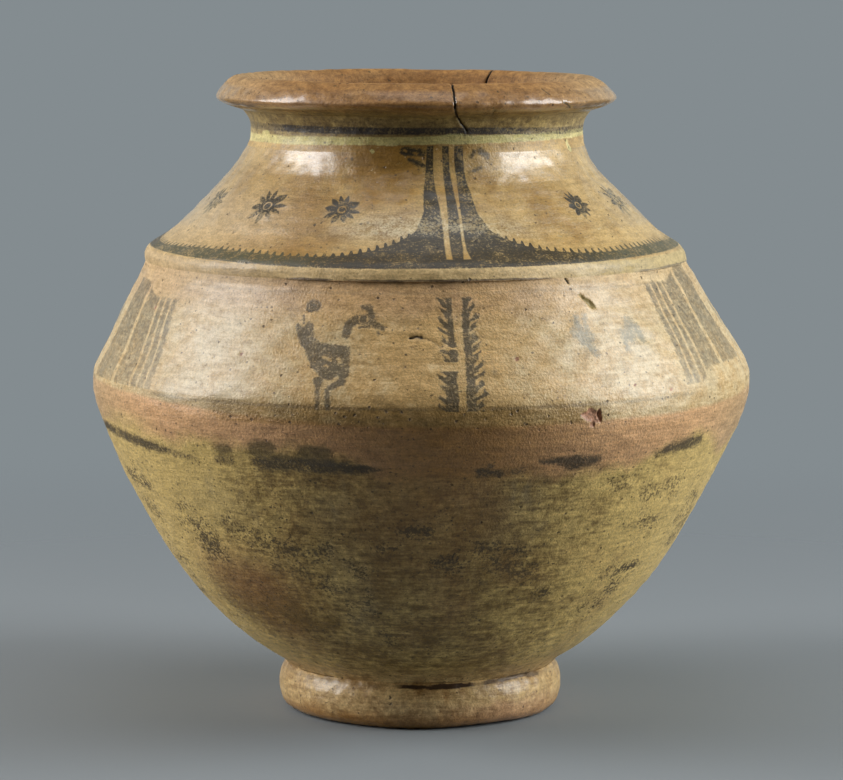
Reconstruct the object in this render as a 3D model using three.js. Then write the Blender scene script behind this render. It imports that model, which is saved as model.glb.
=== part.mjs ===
import * as THREE from 'three';

// A footed storage jar of fired clay with a flanged mouth, built as the potter builds it:
// seven thrown or coiled members, each seated on the one below with a lapped joint.
// Millimetres, +Z up, with the origin at the middle of the face that the foot rests on.

// Heights of the members, from the foot up
const footHeight = 22;
const bowlHeight = 112;
const beltHeight = 28;
const upperBodyHeight = 51.5;
const shoulderHeight = 53.5;
const neckHeight = 16.5;
const rimHeight = 16.5;

// Thickness of the wall, measured square to it
const bodyWall = 7;
const shoulderWall = 7.5;
const neckWall = 8;
const floorThickness = 9;

// Lapped joints: the lower member's inner half stands up as a tongue inside the upper member
const tongueHeight = 4;
const jointClearance = 0.3;

// Foot ring
const footRadius = 67;
const footWidestHeight = 13;
const footRestInset = 11;
const footTopInset = 3.2;
const footBoreRadius = 50;
const bossDepth = 3;

// Bowl, which springs from a tight crease over the foot
const creaseHeight = 5;
const creaseSpread = 5.7;
const floorRadius = 46;

// Belt at the jar's greatest width
const bellyRadius = 154.9;
const beltLowerInset = 6.2;
const beltUpperInset = 0.5;
const beltWidestDrop = 6;

// Upper body: a turn above the belt, then a straight cone up to the ridge
const turnHeight = 9.7;
const turnInset = 4.4;
const coneEndDrop = 5.3;
const coneEndSpread = 2.3;

// Shoulder: a rolled ridge, a slope, then a hollow curve up to the neck
const ridgeRadius = 127;
const ridgeOverhang = 0.8;
const ridgeHeight = 8.8;
const ridgeRoll = 5.2;
const saddleDrop = 28;
const saddleSpread = 23.1;

// Neck
const neckRadius = 78;
const neckWaistRise = 6;
const neckBaseFlare = 1.2;
const neckTopFlare = 3.5;

// Rim: a flange turned outwards, with a round lip
const lipOverhang = 12.2;
const lipRise = 6.5;
const crestInset = 10.7;
const mouthBevel = 5;
const throatFlare = 2.5;

// How far the wall leans outwards, in degrees from upright, at the places that shape the outline
const floorEdgeLean = 80;
const footSpringLean = 35;
const footTopLean = -35;
const creaseLean = 60;
const beltLowerLean = 24;
const beltUpperLean = -12;
const coneLean = -30;
const ridgeEdgeLean = -7;
const ridgeTopLean = -60;
const saddleLean = -45;
const neckBaseLean = -23;
const neckTopLean = 42;
const throatLean = 14;
const rimUnderLean = 68;
const mouthLean = 20;

// The lean of a level face
const flat = 90;

// Facets round the jar, the same in every member so that their joint faces match
const facets = 60;

// Levels of the joints
const bowlLevel = footHeight;
const beltLevel = bowlLevel + bowlHeight;
const upperBodyLevel = beltLevel + beltHeight;
const shoulderLevel = upperBodyLevel + upperBodyHeight;
const neckLevel = shoulderLevel + shoulderHeight;
const rimLevel = neckLevel + neckHeight;
const crestLevel = rimLevel + rimHeight;

// A station is a place on an outline: its radius, its height and the wall's lean there.
function station(radius, height, lean) {
  return { radius, height, lean };
}

// The place inside a wall that faces a station on its outside
function inside(outer, wall) {
  const levelThickness = wall / Math.cos(THREE.MathUtils.degToRad(outer.lean));
  return station(outer.radius - levelThickness, outer.height, outer.lean);
}

// Points of a smooth curve between two stations, the first one left out. The handles are the
// shares of the straight distance over which each end keeps its own lean.
function curve(from, to, steps, handles = [0.36, 0.36]) {
  const start = new THREE.Vector2(from.radius, from.height);
  const end = new THREE.Vector2(to.radius, to.height);
  const reach = start.distanceTo(end);
  const heading = Math.sign(to.height - from.height) || 1;
  const direction = (place) => {
    const angle = THREE.MathUtils.degToRad(place.lean);
    return new THREE.Vector2(Math.sin(angle), Math.cos(angle)).multiplyScalar(heading);
  };
  const shape = new THREE.CubicBezierCurve(
    start,
    start.clone().addScaledVector(direction(from), handles[0] * reach),
    end.clone().addScaledVector(direction(to), -handles[1] * reach),
    end,
  );
  return shape.getPoints(steps).slice(1);
}

// A lapped joint between two walls, from the outline's radius at its level to the wall's inside
function lap(outerRadius, level, wall, lean) {
  const slope = Math.tan(THREE.MathUtils.degToRad(lean));
  const innerRadius = inside(station(outerRadius, level, lean), wall).radius;
  const middle = (outerRadius + innerRadius) / 2;
  const tongueTop = level + tongueHeight;
  const recessTop = tongueTop + jointClearance;
  const drift = tongueHeight * slope;
  const recessDrift = (tongueHeight + jointClearance) * slope;
  return {
    innerEnd: station(innerRadius + drift, tongueTop, lean),
    innerStart: station(innerRadius + recessDrift, recessTop, lean),
    // The lower member's top, from its outside to its inside
    tongue: [
      new THREE.Vector2(middle, level),
      new THREE.Vector2(middle + drift, tongueTop),
      new THREE.Vector2(innerRadius + drift, tongueTop),
    ],
    // The upper member's underside, from its inside to its outside
    recess: [
      new THREE.Vector2(innerRadius + recessDrift, recessTop),
      new THREE.Vector2(middle + recessDrift + jointClearance, recessTop),
      new THREE.Vector2(middle + jointClearance, level),
    ],
  };
}

// One member: its profile turned round the jar's axis, with its clay's colour
function member(name, profile, colour, roughness) {
  const geometry = new THREE.LatheGeometry(profile, facets);
  geometry.rotateX(Math.PI / 2);
  const material = new THREE.MeshStandardMaterial({ color: colour, roughness, metalness: 0 });
  const mesh = new THREE.Mesh(geometry, material);
  mesh.name = name;
  return mesh;
}

// A ring's profile goes under its recess, up its outside, over its top and down its inside,
// where it closes on its first point.
function ringProfile(recess, outside, top, inner) {
  return [...recess, ...outside, ...top, ...inner.slice(0, -1), recess[0]];
}

// Stations of the outline
const footWidest = station(footRadius, footWidestHeight, 0);
const footTop = station(footRadius - footTopInset, bowlLevel, footTopLean);
const creaseEnd = station(footTop.radius + creaseSpread, bowlLevel + creaseHeight, creaseLean);
const beltLower = station(bellyRadius - beltLowerInset, beltLevel, beltLowerLean);
const beltWidest = station(bellyRadius, upperBodyLevel - beltWidestDrop, 0);
const beltUpper = station(bellyRadius - beltUpperInset, upperBodyLevel, beltUpperLean);
const turnEnd = station(beltUpper.radius - turnInset, upperBodyLevel + turnHeight, coneLean);
const coneEnd = station(ridgeRadius + coneEndSpread, shoulderLevel - coneEndDrop, coneLean);
const coneTop = station(ridgeRadius, shoulderLevel, coneLean / 2);
const ridgeEdge = station(ridgeRadius + ridgeOverhang, shoulderLevel, ridgeEdgeLean);
const ridgeTop = station(ridgeRadius - ridgeRoll, shoulderLevel + ridgeHeight, ridgeTopLean);
const neckBase = station(neckRadius + neckBaseFlare, neckLevel, neckBaseLean);
const saddle = station(neckBase.radius + saddleSpread, neckLevel - saddleDrop, saddleLean);
const neckWaist = station(neckRadius, neckLevel + neckWaistRise, 0);
const neckTop = station(neckRadius + neckTopFlare, rimLevel, neckTopLean);
const rimUnder = station(neckTop.radius, rimLevel, rimUnderLean);
const lip = station(neckTop.radius + lipOverhang, rimLevel + lipRise, 0);
const crest = station(lip.radius - crestInset, crestLevel, -flat);

// Joints between the members
const beltLap = lap(beltLower.radius, beltLevel, bodyWall, beltLowerLean);
const upperBodyLap = lap(beltUpper.radius, upperBodyLevel, bodyWall, beltUpperLean);
const shoulderLap = lap(ridgeRadius, shoulderLevel, bodyWall, coneLean);
const neckLap = lap(neckBase.radius, neckLevel, neckWall, neckBaseLean / 2);
const rimLap = lap(neckTop.radius, rimLevel, neckWall, throatLean);

function footRing() {
  const rest = station(footRadius - footRestInset, 0, flat);
  const quarterRound = [0.552, 0.552];
  const profile = [
    new THREE.Vector2(footBoreRadius, 0),
    new THREE.Vector2(rest.radius, 0),
    ...curve(rest, footWidest, 5, quarterRound),
    ...curve(footWidest, footTop, 3),
    new THREE.Vector2(footBoreRadius, bowlLevel),
    new THREE.Vector2(footBoreRadius, 0),
  ];
  return member('foot_ring', profile, 0xb58f62, 0.6);
}

function bowl() {
  const bossRadius = footBoreRadius - jointClearance;
  const floorTop = bowlLevel + floorThickness;
  const floorEdge = station(floorRadius, floorTop, floorEdgeLean);
  const profile = [
    new THREE.Vector2(0, bowlLevel - bossDepth),
    new THREE.Vector2(bossRadius, bowlLevel - bossDepth),
    new THREE.Vector2(bossRadius, bowlLevel),
    new THREE.Vector2(footTop.radius, bowlLevel),
    ...curve(station(footTop.radius, bowlLevel, footSpringLean), creaseEnd, 2),
    ...curve(creaseEnd, beltLower, 9, [0.33, 0.33]),
    ...beltLap.tongue,
    ...curve(beltLap.innerEnd, floorEdge, 8),
    new THREE.Vector2(0, floorTop),
  ];
  return member('lower_body', profile, 0x8f7f52, 0.55);
}

function belt() {
  const outside = [
    new THREE.Vector2(beltLower.radius, beltLevel),
    ...curve(beltLower, beltWidest, 4, [0.31, 0.27]),
    ...curve(beltWidest, beltUpper, 1),
  ];
  const inner = curve(upperBodyLap.innerEnd, beltLap.innerStart, 4);
  return member('belly_band', ringProfile(beltLap.recess, outside, upperBodyLap.tongue, inner),
    0x8a5f47, 0.55);
}

function upperBody() {
  const outside = [
    new THREE.Vector2(beltUpper.radius, upperBodyLevel),
    ...curve(beltUpper, turnEnd, 3),
    ...curve(turnEnd, coneEnd, 1),
    ...curve(coneEnd, coneTop, 2),
  ];
  const inner = [
    ...curve(shoulderLap.innerEnd, inside(turnEnd, bodyWall), 1),
    ...curve(inside(turnEnd, bodyWall), upperBodyLap.innerStart, 3),
  ];
  return member('upper_body', ringProfile(upperBodyLap.recess, outside, shoulderLap.tongue, inner),
    0xb9a27c, 0.5);
}

function shoulder() {
  const outside = [
    new THREE.Vector2(ridgeEdge.radius, shoulderLevel),
    ...curve(ridgeEdge, ridgeTop, 4, [0.48, 0.38]),
    ...curve(ridgeTop, saddle, 4, [0.4, 0.39]),
    ...curve(saddle, neckBase, 5, [0.6, 0.37]),
  ];
  const inner = [
    ...curve(neckLap.innerEnd, inside(saddle, shoulderWall), 4, [0.37, 0.5]),
    ...curve(inside(saddle, shoulderWall), shoulderLap.innerStart, 4),
  ];
  return member('shoulder', ringProfile(shoulderLap.recess, outside, neckLap.tongue, inner),
    0xb28d5c, 0.5);
}

function neck() {
  const outside = [
    new THREE.Vector2(neckBase.radius, neckLevel),
    ...curve(neckBase, neckWaist, 2),
    ...curve(neckWaist, neckTop, 3),
  ];
  const inner = [
    ...curve(rimLap.innerEnd, inside(neckWaist, neckWall), 3),
    ...curve(inside(neckWaist, neckWall), neckLap.innerStart, 1),
  ];
  return member('neck', ringProfile(neckLap.recess, outside, rimLap.tongue, inner), 0x7d6a3c, 0.5);
}

function rim() {
  const throat = rimLap.innerStart;
  const mouthEdge = station(throat.radius + throatFlare, crestLevel - mouthBevel, mouthLean);
  const outside = [
    new THREE.Vector2(rimUnder.radius, rimLevel),
    ...curve(rimUnder, lip, 5, [0.28, 0.2]),
    ...curve(lip, crest, 5, [0.14, 0.25]),
  ];
  const inner = [
    ...curve(station(crest.radius, crestLevel, flat), mouthEdge, 4, [0.5, 0.4]),
    ...curve(mouthEdge, throat, 1),
  ];
  return member('rim', ringProfile(rimLap.recess, outside, [], inner), 0x96694a, 0.45);
}

const jar = new THREE.Group();
jar.name = 'jar';
jar.add(footRing(), bowl(), belt(), upperBody(), shoulder(), neck(), rim());

export default jar;
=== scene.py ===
"""Looks of a painted earthenware storage jar.

Seven clay members stand for the seven solids of the frame. Each keeps the outline of its solid and adds
the marks of its making and of its age: throwing rings, dents, a cracked lip, chips and pits. Slip colours
and the worn painting are worked out on the clay from the turn round the jar, in degrees from its front,
and from the height over its foot, in millimetres.
"""

import logging
import math
from dataclasses import dataclass, field, replace
from enum import Enum
from functools import reduce
from typing import Callable, Iterable, Union

import bpy
import numpy as np
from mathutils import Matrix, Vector


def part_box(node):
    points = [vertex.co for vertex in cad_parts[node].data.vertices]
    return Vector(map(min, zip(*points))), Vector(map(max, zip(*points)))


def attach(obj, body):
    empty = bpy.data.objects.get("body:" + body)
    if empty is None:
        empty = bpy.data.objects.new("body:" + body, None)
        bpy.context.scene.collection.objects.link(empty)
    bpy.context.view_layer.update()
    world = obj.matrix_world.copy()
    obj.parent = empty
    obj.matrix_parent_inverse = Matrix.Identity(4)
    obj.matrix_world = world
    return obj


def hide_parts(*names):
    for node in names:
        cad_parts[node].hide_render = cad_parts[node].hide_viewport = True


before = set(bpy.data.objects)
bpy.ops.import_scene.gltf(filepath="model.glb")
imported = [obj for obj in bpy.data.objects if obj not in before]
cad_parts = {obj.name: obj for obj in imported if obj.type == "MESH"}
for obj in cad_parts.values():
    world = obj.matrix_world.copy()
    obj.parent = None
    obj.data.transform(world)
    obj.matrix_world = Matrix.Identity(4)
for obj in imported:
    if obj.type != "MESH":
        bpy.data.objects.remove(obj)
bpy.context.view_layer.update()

log = logging.getLogger("jar")

METRE = 1000.0
SHARPEST_BEND = 50.0
BEND_SHARE = 0.36
CURVE_SAMPLES = 241
Grid = np.ndarray
Tree = bpy.types.NodeTree
Point = tuple[float, float]
Triple = tuple[float, float, float]
Quad = tuple[float, float, float, float]
Colour = Quad
Strokes = tuple[tuple[float, float, float, float, float, float], ...]


def pigment(red: float, green: float, blue: float) -> Colour:
    """Turns a colour read on a 0 to 255 scale into linear values.

    Args:
        red: Amount of red, 0 to 255.
        green: Amount of green, 0 to 255.
        blue: Amount of blue, 0 to 255.

    Returns:
        The colour with linear values and full alpha.
    """
    shares = (value / 255 for value in (red, green, blue))
    linear = [s / 12.92 if s <= 0.04045 else ((s + 0.055) / 1.055) ** 2.4 for s in shares]
    return (*linear, 1)


def low(node: str) -> float:
    """The lowest height of a solid of the frame, in millimetres."""
    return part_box(node)[0].z * METRE


def high(node: str) -> float:
    """The highest height of a solid of the frame, in millimetres."""
    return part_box(node)[1].z * METRE


def reach(node: str) -> float:
    """The largest radius of a solid of the frame, in millimetres."""
    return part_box(node)[1].x * METRE


class Side(Enum):
    """Which face of the clay a row of the mesh lies on."""

    OUTSIDE = 1
    INSIDE = -1
    JOINT = 0


@dataclass(frozen=True)
class Station:
    """A place on the outline: its radius, its height and how far the wall leans out there, in degrees."""

    radius: float
    height: float
    lean: float

    def inside(self, wall: float) -> "Station":
        """The place on the inside of a wall of that thickness."""
        return Station(self.radius - wall / math.cos(math.radians(self.lean)), self.height, self.lean)


@dataclass(frozen=True)
class Lap:
    """A lapped joint: a level shelf on the outer half of the wall and a tongue on its inner half."""

    outer: float
    level: float
    wall: float
    lean: float
    tongue: float = 4.0
    clearance: float = 0.3

    @property
    def inner(self) -> float:
        """Radius of the wall's inside at the joint's level."""
        return Station(self.outer, self.level, self.lean).inside(self.wall).radius

    @property
    def middle(self) -> float:
        """Radius of the tongue's outer face at the joint's level."""
        return (self.outer + self.inner) / 2

    def drift(self, rise: float) -> float:
        """How far the wall moves outwards over a rise."""
        return rise * math.tan(math.radians(self.lean))

    def inner_station(self, above: bool) -> Station:
        """Where the member above or below the joint has the end of its inside.

        Args:
            above: True for the upper member.

        Returns:
            The station on the inside of the wall.
        """
        rise = self.tongue + (self.clearance if above else 0)
        return Station(self.inner + self.drift(rise), self.level + rise, self.lean)

    def tongue_corners(self) -> list[Point]:
        """The lower member's top, from its outside to its inside."""
        top = self.level + self.tongue
        return [(self.middle, self.level), (self.middle + self.drift(self.tongue), top)]

    def recess_corners(self) -> list[Point]:
        """Finds the corners of the recess.

        Returns:
            The upper member's underside, from its inside to its outside.
        """
        rise = self.tongue + self.clearance
        corner = self.middle + self.clearance
        return [(corner + self.drift(rise), self.level + rise), (corner, self.level)]


@dataclass(frozen=True)
class Undulation:
    """A soft unevenness of the surface, made of many waves round and up the jar."""

    height: float
    turns: tuple[int, int]
    lengths: tuple[float, float]
    seed: int
    count: int = 48

    def over(self, turn: Grid, level: Grid) -> Grid:
        """Works out the unevenness on a grid.

        Args:
            turn: Turns of the grid's columns, in radians.
            level: Heights of the grid's rows, in millimetres.

        Returns:
            Displacements in millimetres, one row for each level.
        """
        rng = np.random.default_rng(self.seed)
        around = rng.integers(self.turns[0], self.turns[1] + 1, self.count)
        around = around * rng.choice((-1, 1), self.count)
        length = rng.uniform(self.lengths[0], self.lengths[1], self.count)
        phase = rng.uniform(0, 2 * math.pi, self.count)
        across = np.outer(around, turn)
        up = np.outer(level, 2 * math.pi / length) + phase
        waves = np.cos(up) @ np.cos(across) - np.sin(up) @ np.sin(across)
        return self.height * waves / math.sqrt(self.count / 2)


@dataclass(frozen=True)
class Groove:
    """A cut or crack along a path of turns (degrees) and heights (millimetres)."""

    path: tuple[Point, ...]
    width: float
    depth: float
    slope: float = 1.0
    ragged: float = 0.0

    def over(self, turn: Grid, level: Grid, radius: Grid) -> Grid:
        """Works out the depth of the groove on a grid.

        Args:
            turn: Turns of the columns, in degrees.
            level: Heights of the rows.
            radius: Radii of the rows.

        Returns:
            Depths in millimetres.
        """
        points = np.array(self.path, float)
        middle = points[:, 0].mean()
        away = (turn - middle + 180) % 360 - 180
        across = away[None, :] * np.radians(1) * radius[:, None]
        across = across + self.ragged * np.sin(level * 2.7)[:, None] * np.cos(level * 1.3 + 1)[:, None]
        up = (level * self.slope)[:, None] + np.zeros_like(across)
        gap = np.full(across.shape, np.inf)
        scale = np.radians(1) * np.interp(points[:, 1].mean(), np.sort(level), radius[np.argsort(level)])
        knots = np.stack([(points[:, 0] - middle) * scale, points[:, 1] * self.slope], 1)
        for start, end in zip(knots, knots[1:]):
            step = end - start
            share = ((across - start[0]) * step[0] + (up - start[1]) * step[1]) / (step @ step)
            share = share.clip(0, 1)
            reached = np.hypot(across - start[0] - share * step[0], up - start[1] - share * step[1])
            gap = np.minimum(gap, reached)
        return self.depth * np.exp(-((gap / self.width) ** 2))


@dataclass(frozen=True)
class Pit:
    """A hollow broken out of the surface, an ellipse with a steep edge."""

    turn: float
    height: float
    across: float
    tall: float
    depth: float
    tilt: float = 0.0
    slope: float = 1.0

    def over(self, turn: Grid, level: Grid, radius: Grid) -> Grid:
        """Works out the depth of the hollow on a grid.

        Args:
            turn: Turns of the columns, in degrees.
            level: Heights of the rows.
            radius: Radii of the rows.

        Returns:
            Depths in millimetres.
        """
        away = (turn - self.turn + 180) % 360 - 180
        across = away[None, :] * np.radians(1) * radius[:, None]
        up = ((level - self.height) * self.slope)[:, None]
        angle = math.radians(self.tilt)
        wide = (across * math.cos(angle) + up * math.sin(angle)) / (self.across / 2)
        long = (up * math.cos(angle) - across * math.sin(angle)) / (self.tall / 2)
        edge = np.arctan2(long, wide)
        rim = 1 + 0.16 * np.sin(3 * edge + self.turn) + 0.1 * np.sin(5 * edge + self.height)
        return self.depth * ((1 - np.hypot(wide, long) / rim) * 2.2).clip(0, 1)


@dataclass(frozen=True)
class Run:
    """A smooth stretch of wall, and over which shares of its length each end keeps its own lean."""

    start: Station
    end: Station
    handles: Point = (BEND_SHARE, BEND_SHARE)
    pitch: Union[float, None] = None


@dataclass
class Section:
    """The rows of a wall's section, in order round it, with the face that each lies on."""

    places: list[Grid] = field(default_factory=list)
    normals: list[Grid] = field(default_factory=list)
    sides: list[Side] = field(default_factory=list)

    def corner(self, radius: float, height: float) -> None:
        """Adds a corner of a joint face.

        Args:
            radius: Its radius.
            height: Its height.
        """
        self.places.append(np.array([[radius, height]], float))
        self.normals.append(np.zeros((1, 2)))
        self.sides.append(Side.JOINT)

    def follow(self, run: Run, side: Side, pitch: float, first: bool = True) -> None:
        """Adds the rows of a smooth stretch of wall.

        Args:
            run: The stretch.
            side: The face of the clay that it is on.
            pitch: Distance between rows, in millimetres, where the stretch has none of its own.
            first: False to leave the first row out, where the last stretch ended there.
        """
        a = np.array([run.start.radius, run.start.height], float)
        d = np.array([run.end.radius, run.end.height], float)
        span = float(np.hypot(*(d - a)))
        heading = 1 if d[1] >= a[1] else -1
        leans = [math.radians(s.lean) for s in (run.start, run.end)]
        ways = [heading * np.array([math.sin(lean), math.cos(lean)]) for lean in leans]
        b = a + run.handles[0] * span * ways[0]
        c = d - run.handles[1] * span * ways[1]
        fine = np.linspace(0, 1, CURVE_SAMPLES)[:, None]
        curve = (1 - fine) ** 3 * a + 3 * (1 - fine) ** 2 * fine * b
        curve = curve + 3 * (1 - fine) * fine**2 * c + fine**3 * d
        walked = np.concatenate([[0], np.cumsum(np.hypot(*np.diff(curve, axis=0).T))])
        count = max(2, int(math.ceil(walked[-1] / (run.pitch or pitch))))
        t = np.interp(np.linspace(0, walked[-1], count + 1), walked, fine[:, 0])[:, None]
        rows = (1 - t) ** 3 * a + 3 * (1 - t) ** 2 * t * b + 3 * (1 - t) * t**2 * c + t**3 * d
        tangent = 3 * (1 - t) ** 2 * (b - a) + 6 * (1 - t) * t * (c - b) + 3 * t**2 * (d - c)
        tangent = tangent / np.hypot(*tangent.T)[:, None]
        kept = slice(0 if first else 1, None)
        self.places.append(rows[kept])
        self.normals.append(np.stack([tangent[:, 1], -tangent[:, 0]], 1)[kept])
        self.sides += [side] * len(rows[kept])

    def rows(self) -> tuple[Grid, Grid, Grid]:
        """Puts all the rows together.

        Returns:
            The places, the normals and the sides, as arrays.
        """
        return (
            np.concatenate(self.places),
            np.concatenate(self.normals),
            np.array([side.value for side in self.sides]),
        )


@dataclass(frozen=True)
class Wander:
    """How far the wheel-thrown sections stand off the jar's axis, by height, to the right of its front."""

    heights: tuple[float, ...] = (0, 60, 110, 150, 170, 200, 225, 250, 275, 300)
    offsets: tuple[float, ...] = (-0.6, -1.2, -1, -0.1, 0, -2, -3.4, -3.5, -2.2, -2.6)

    def at(self, level: Grid) -> Grid:
        """The sideways offset at each height, in millimetres.

        Args:
            level: Heights in millimetres.

        Returns:
            Offsets along the row's X axis.
        """
        heights = np.array(self.heights, float)
        offsets = np.array(self.offsets, float)
        step = np.clip(np.searchsorted(heights, level, side="right") - 1, 0, len(heights) - 2)
        share = ((level - heights[step]) / (heights[step + 1] - heights[step])).clip(0, 1)
        share = share * share * (3 - 2 * share)
        return offsets[step] * (1 - share) + offsets[step + 1] * share


WANDER = Wander()
MOUTH_DROP = 1.9
MOUTH_SINK = 0.5
MOUTH_TIP = 0.45
MOUTH_LEAN = math.radians(40)
THROWN = (
    Undulation(0.035, (0, 2), (5, 9), seed=11),
    Undulation(0.24, (2, 9), (30, 90), seed=12),
    Undulation(0.07, (18, 60), (6, 20), seed=13),
)
THROWN_INSIDE = (
    Undulation(0.34, (0, 1), (7, 11), seed=21),
    Undulation(0.3, (2, 9), (30, 90), seed=22),
)


@dataclass
class Member:
    """One clay member of the jar, from its section to its dressed mesh."""

    node: str = ""
    slot: str = ""
    pitch: float = 1.2
    inside_pitch: float = 4.0
    turn_step: float = 0.5
    dense: tuple[Triple, ...] = ()
    grooves: tuple[Groove, ...] = ()
    chips: tuple[Pit, ...] = ()

    def section(self) -> Section:
        """The rows of the member's section, round it or from the axis to the axis."""
        raise NotImplementedError

    def closed(self) -> bool:
        """True for a ring, whose section closes on itself."""
        return True

    def turns(self) -> Grid:
        """Spaces the mesh's columns, closer together where there is damage.

        Returns:
            Their turns, in degrees.
        """
        even = np.arange(-180, 180, self.turn_step)
        for start, end, step in self.dense:
            even = even[(even < start) | (even >= end)]
            even = np.concatenate([even, np.arange(start, end, step)])
        return np.sort(even)

    def relief(self, turn: Grid, places: Grid, sides: Grid) -> Grid:
        """How far each point of the surface stands out from the plain outline, damage left aside.

        Args:
            turn: Turns of the columns, in degrees.
            places: Radius and height of each row.
            sides: Side of each row, as its number.

        Returns:
            Displacements in millimetres.
        """
        level = places[:, 1]
        angle = np.radians(turn)
        outside = sum(wave.over(angle, level) for wave in THROWN)
        inside = sum(wave.over(angle, level) for wave in THROWN_INSIDE)
        chosen = np.where(sides[:, None] == Side.OUTSIDE.value, outside, inside)
        return chosen * (sides[:, None] != Side.JOINT.value)

    def build(self) -> bpy.types.Object:
        """Builds the member's mesh as an object that stands for its solid.

        Returns:
            The new object.
        """
        places, normals, sides = self.section().rows()
        turn = self.turns()
        angle = np.radians(turn)
        worn = sides[:, None] == Side.OUTSIDE.value
        level, radius = places[:, 1], places[:, 0]
        none = np.zeros((len(places), len(turn)))
        groove = sum((cut.over(turn, level, radius) for cut in self.grooves), none) * worn
        chip = sum((pit.over(turn, level, radius) for pit in self.chips), none) * worn
        lift = self.relief(turn, places, sides) - groove - chip
        out = radius[:, None] + normals[:, :1] * lift
        up = level[:, None] + normals[:, 1:] * lift
        widest = reach("belly_band")
        out = out.clip(0, widest)
        up = up.clip(0, high("rim"))
        share = np.clip((up - low("neck")) / (high("rim") - low("neck")), 0, 1)
        up = up - MOUTH_DROP * share**2 * (MOUTH_SINK + MOUTH_TIP * np.cos(angle - MOUTH_LEAN))
        x = (out * np.sin(angle) + WANDER.at(up)).clip(-widest, widest)
        points = np.stack([x, -out * np.cos(angle), up], 2)
        flat = radius[:, None]
        plain = np.stack([flat * np.sin(angle), -flat * np.cos(angle), level[:, None] + none], 2)
        mesh = self._mesh(points)
        self._note(mesh, "clay_place", plain, points)
        for name, amount in (("groove", groove), ("chip", chip), ("hidden", none + (sides[:, None] != 1))):
            self._note(mesh, name, amount, points)
        mesh.shade_smooth()
        mesh.set_sharp_from_angle(angle=math.radians(SHARPEST_BEND))
        piece = bpy.data.objects.new(self.node + "_clay", mesh)
        bpy.context.scene.collection.objects.link(piece)
        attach(piece, "root")
        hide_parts(self.node)
        log.info("%s: %d faces", piece.name, len(mesh.polygons))
        return piece

    def _mesh(self, points: Grid) -> bpy.types.Mesh:
        """Joins a grid of points into a closed mesh.

        Args:
            points: The grid, rows by columns by three, in millimetres.

        Returns:
            The mesh, in metres.
        """
        rows, columns = points.shape[:2]
        grid = np.arange(rows * columns).reshape(rows, columns)
        beside = np.roll(grid, -1, 1)
        if self.closed():
            above, above_beside = np.roll(grid, -1, 0), np.roll(beside, -1, 0)
            quads = np.stack([grid, beside, above_beside, above], 2).reshape(-1, 4)
            faces = quads.tolist()
        else:
            quads = np.stack([grid[:-1], beside[:-1], beside[1:], grid[1:]], 2).reshape(-1, 4)
            under = [[rows * columns, b, a] for a, b in zip(grid[0].tolist(), beside[0].tolist())]
            over = [[rows * columns + 1, a, b] for a, b in zip(grid[-1].tolist(), beside[-1].tolist())]
            faces = quads.tolist() + under + over
        flat = points.reshape(-1, 3)
        if not self.closed():
            ends = np.array([[0, 0, points[0, :, 2].mean()], [0, 0, points[-1, :, 2].mean()]])
            flat = np.concatenate([flat, ends])
        mesh = bpy.data.meshes.new(self.node)
        mesh.from_pydata((flat / METRE).tolist(), [], faces)
        mesh.update()
        return mesh

    def _note(self, mesh: bpy.types.Mesh, name: str, values: Grid, points: Grid) -> None:
        """Keeps a value for each point of the mesh, for its finish to read.

        Args:
            mesh: The mesh.
            name: Name of the attribute.
            values: One number or vector for each point of the grid.
            points: The grid itself.
        """
        vector = values.ndim == 3
        flat = values.reshape(-1, 3) if vector else values.reshape(-1)
        missing = len(mesh.vertices) - len(flat)
        if missing:
            tail = np.zeros((missing, 3)) if vector else np.zeros(missing)
            if vector:
                tail[:, 2] = [points[0, :, 2].mean(), points[-1, :, 2].mean()]
            else:
                tail[:] = flat[0]
            flat = np.concatenate([flat, tail])
        kind, key = ("FLOAT_VECTOR", "vector") if vector else ("FLOAT", "value")
        layer = mesh.attributes.new(name, kind, "POINT")
        layer.data.foreach_set(key, flat.astype(np.float32).ravel())


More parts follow.
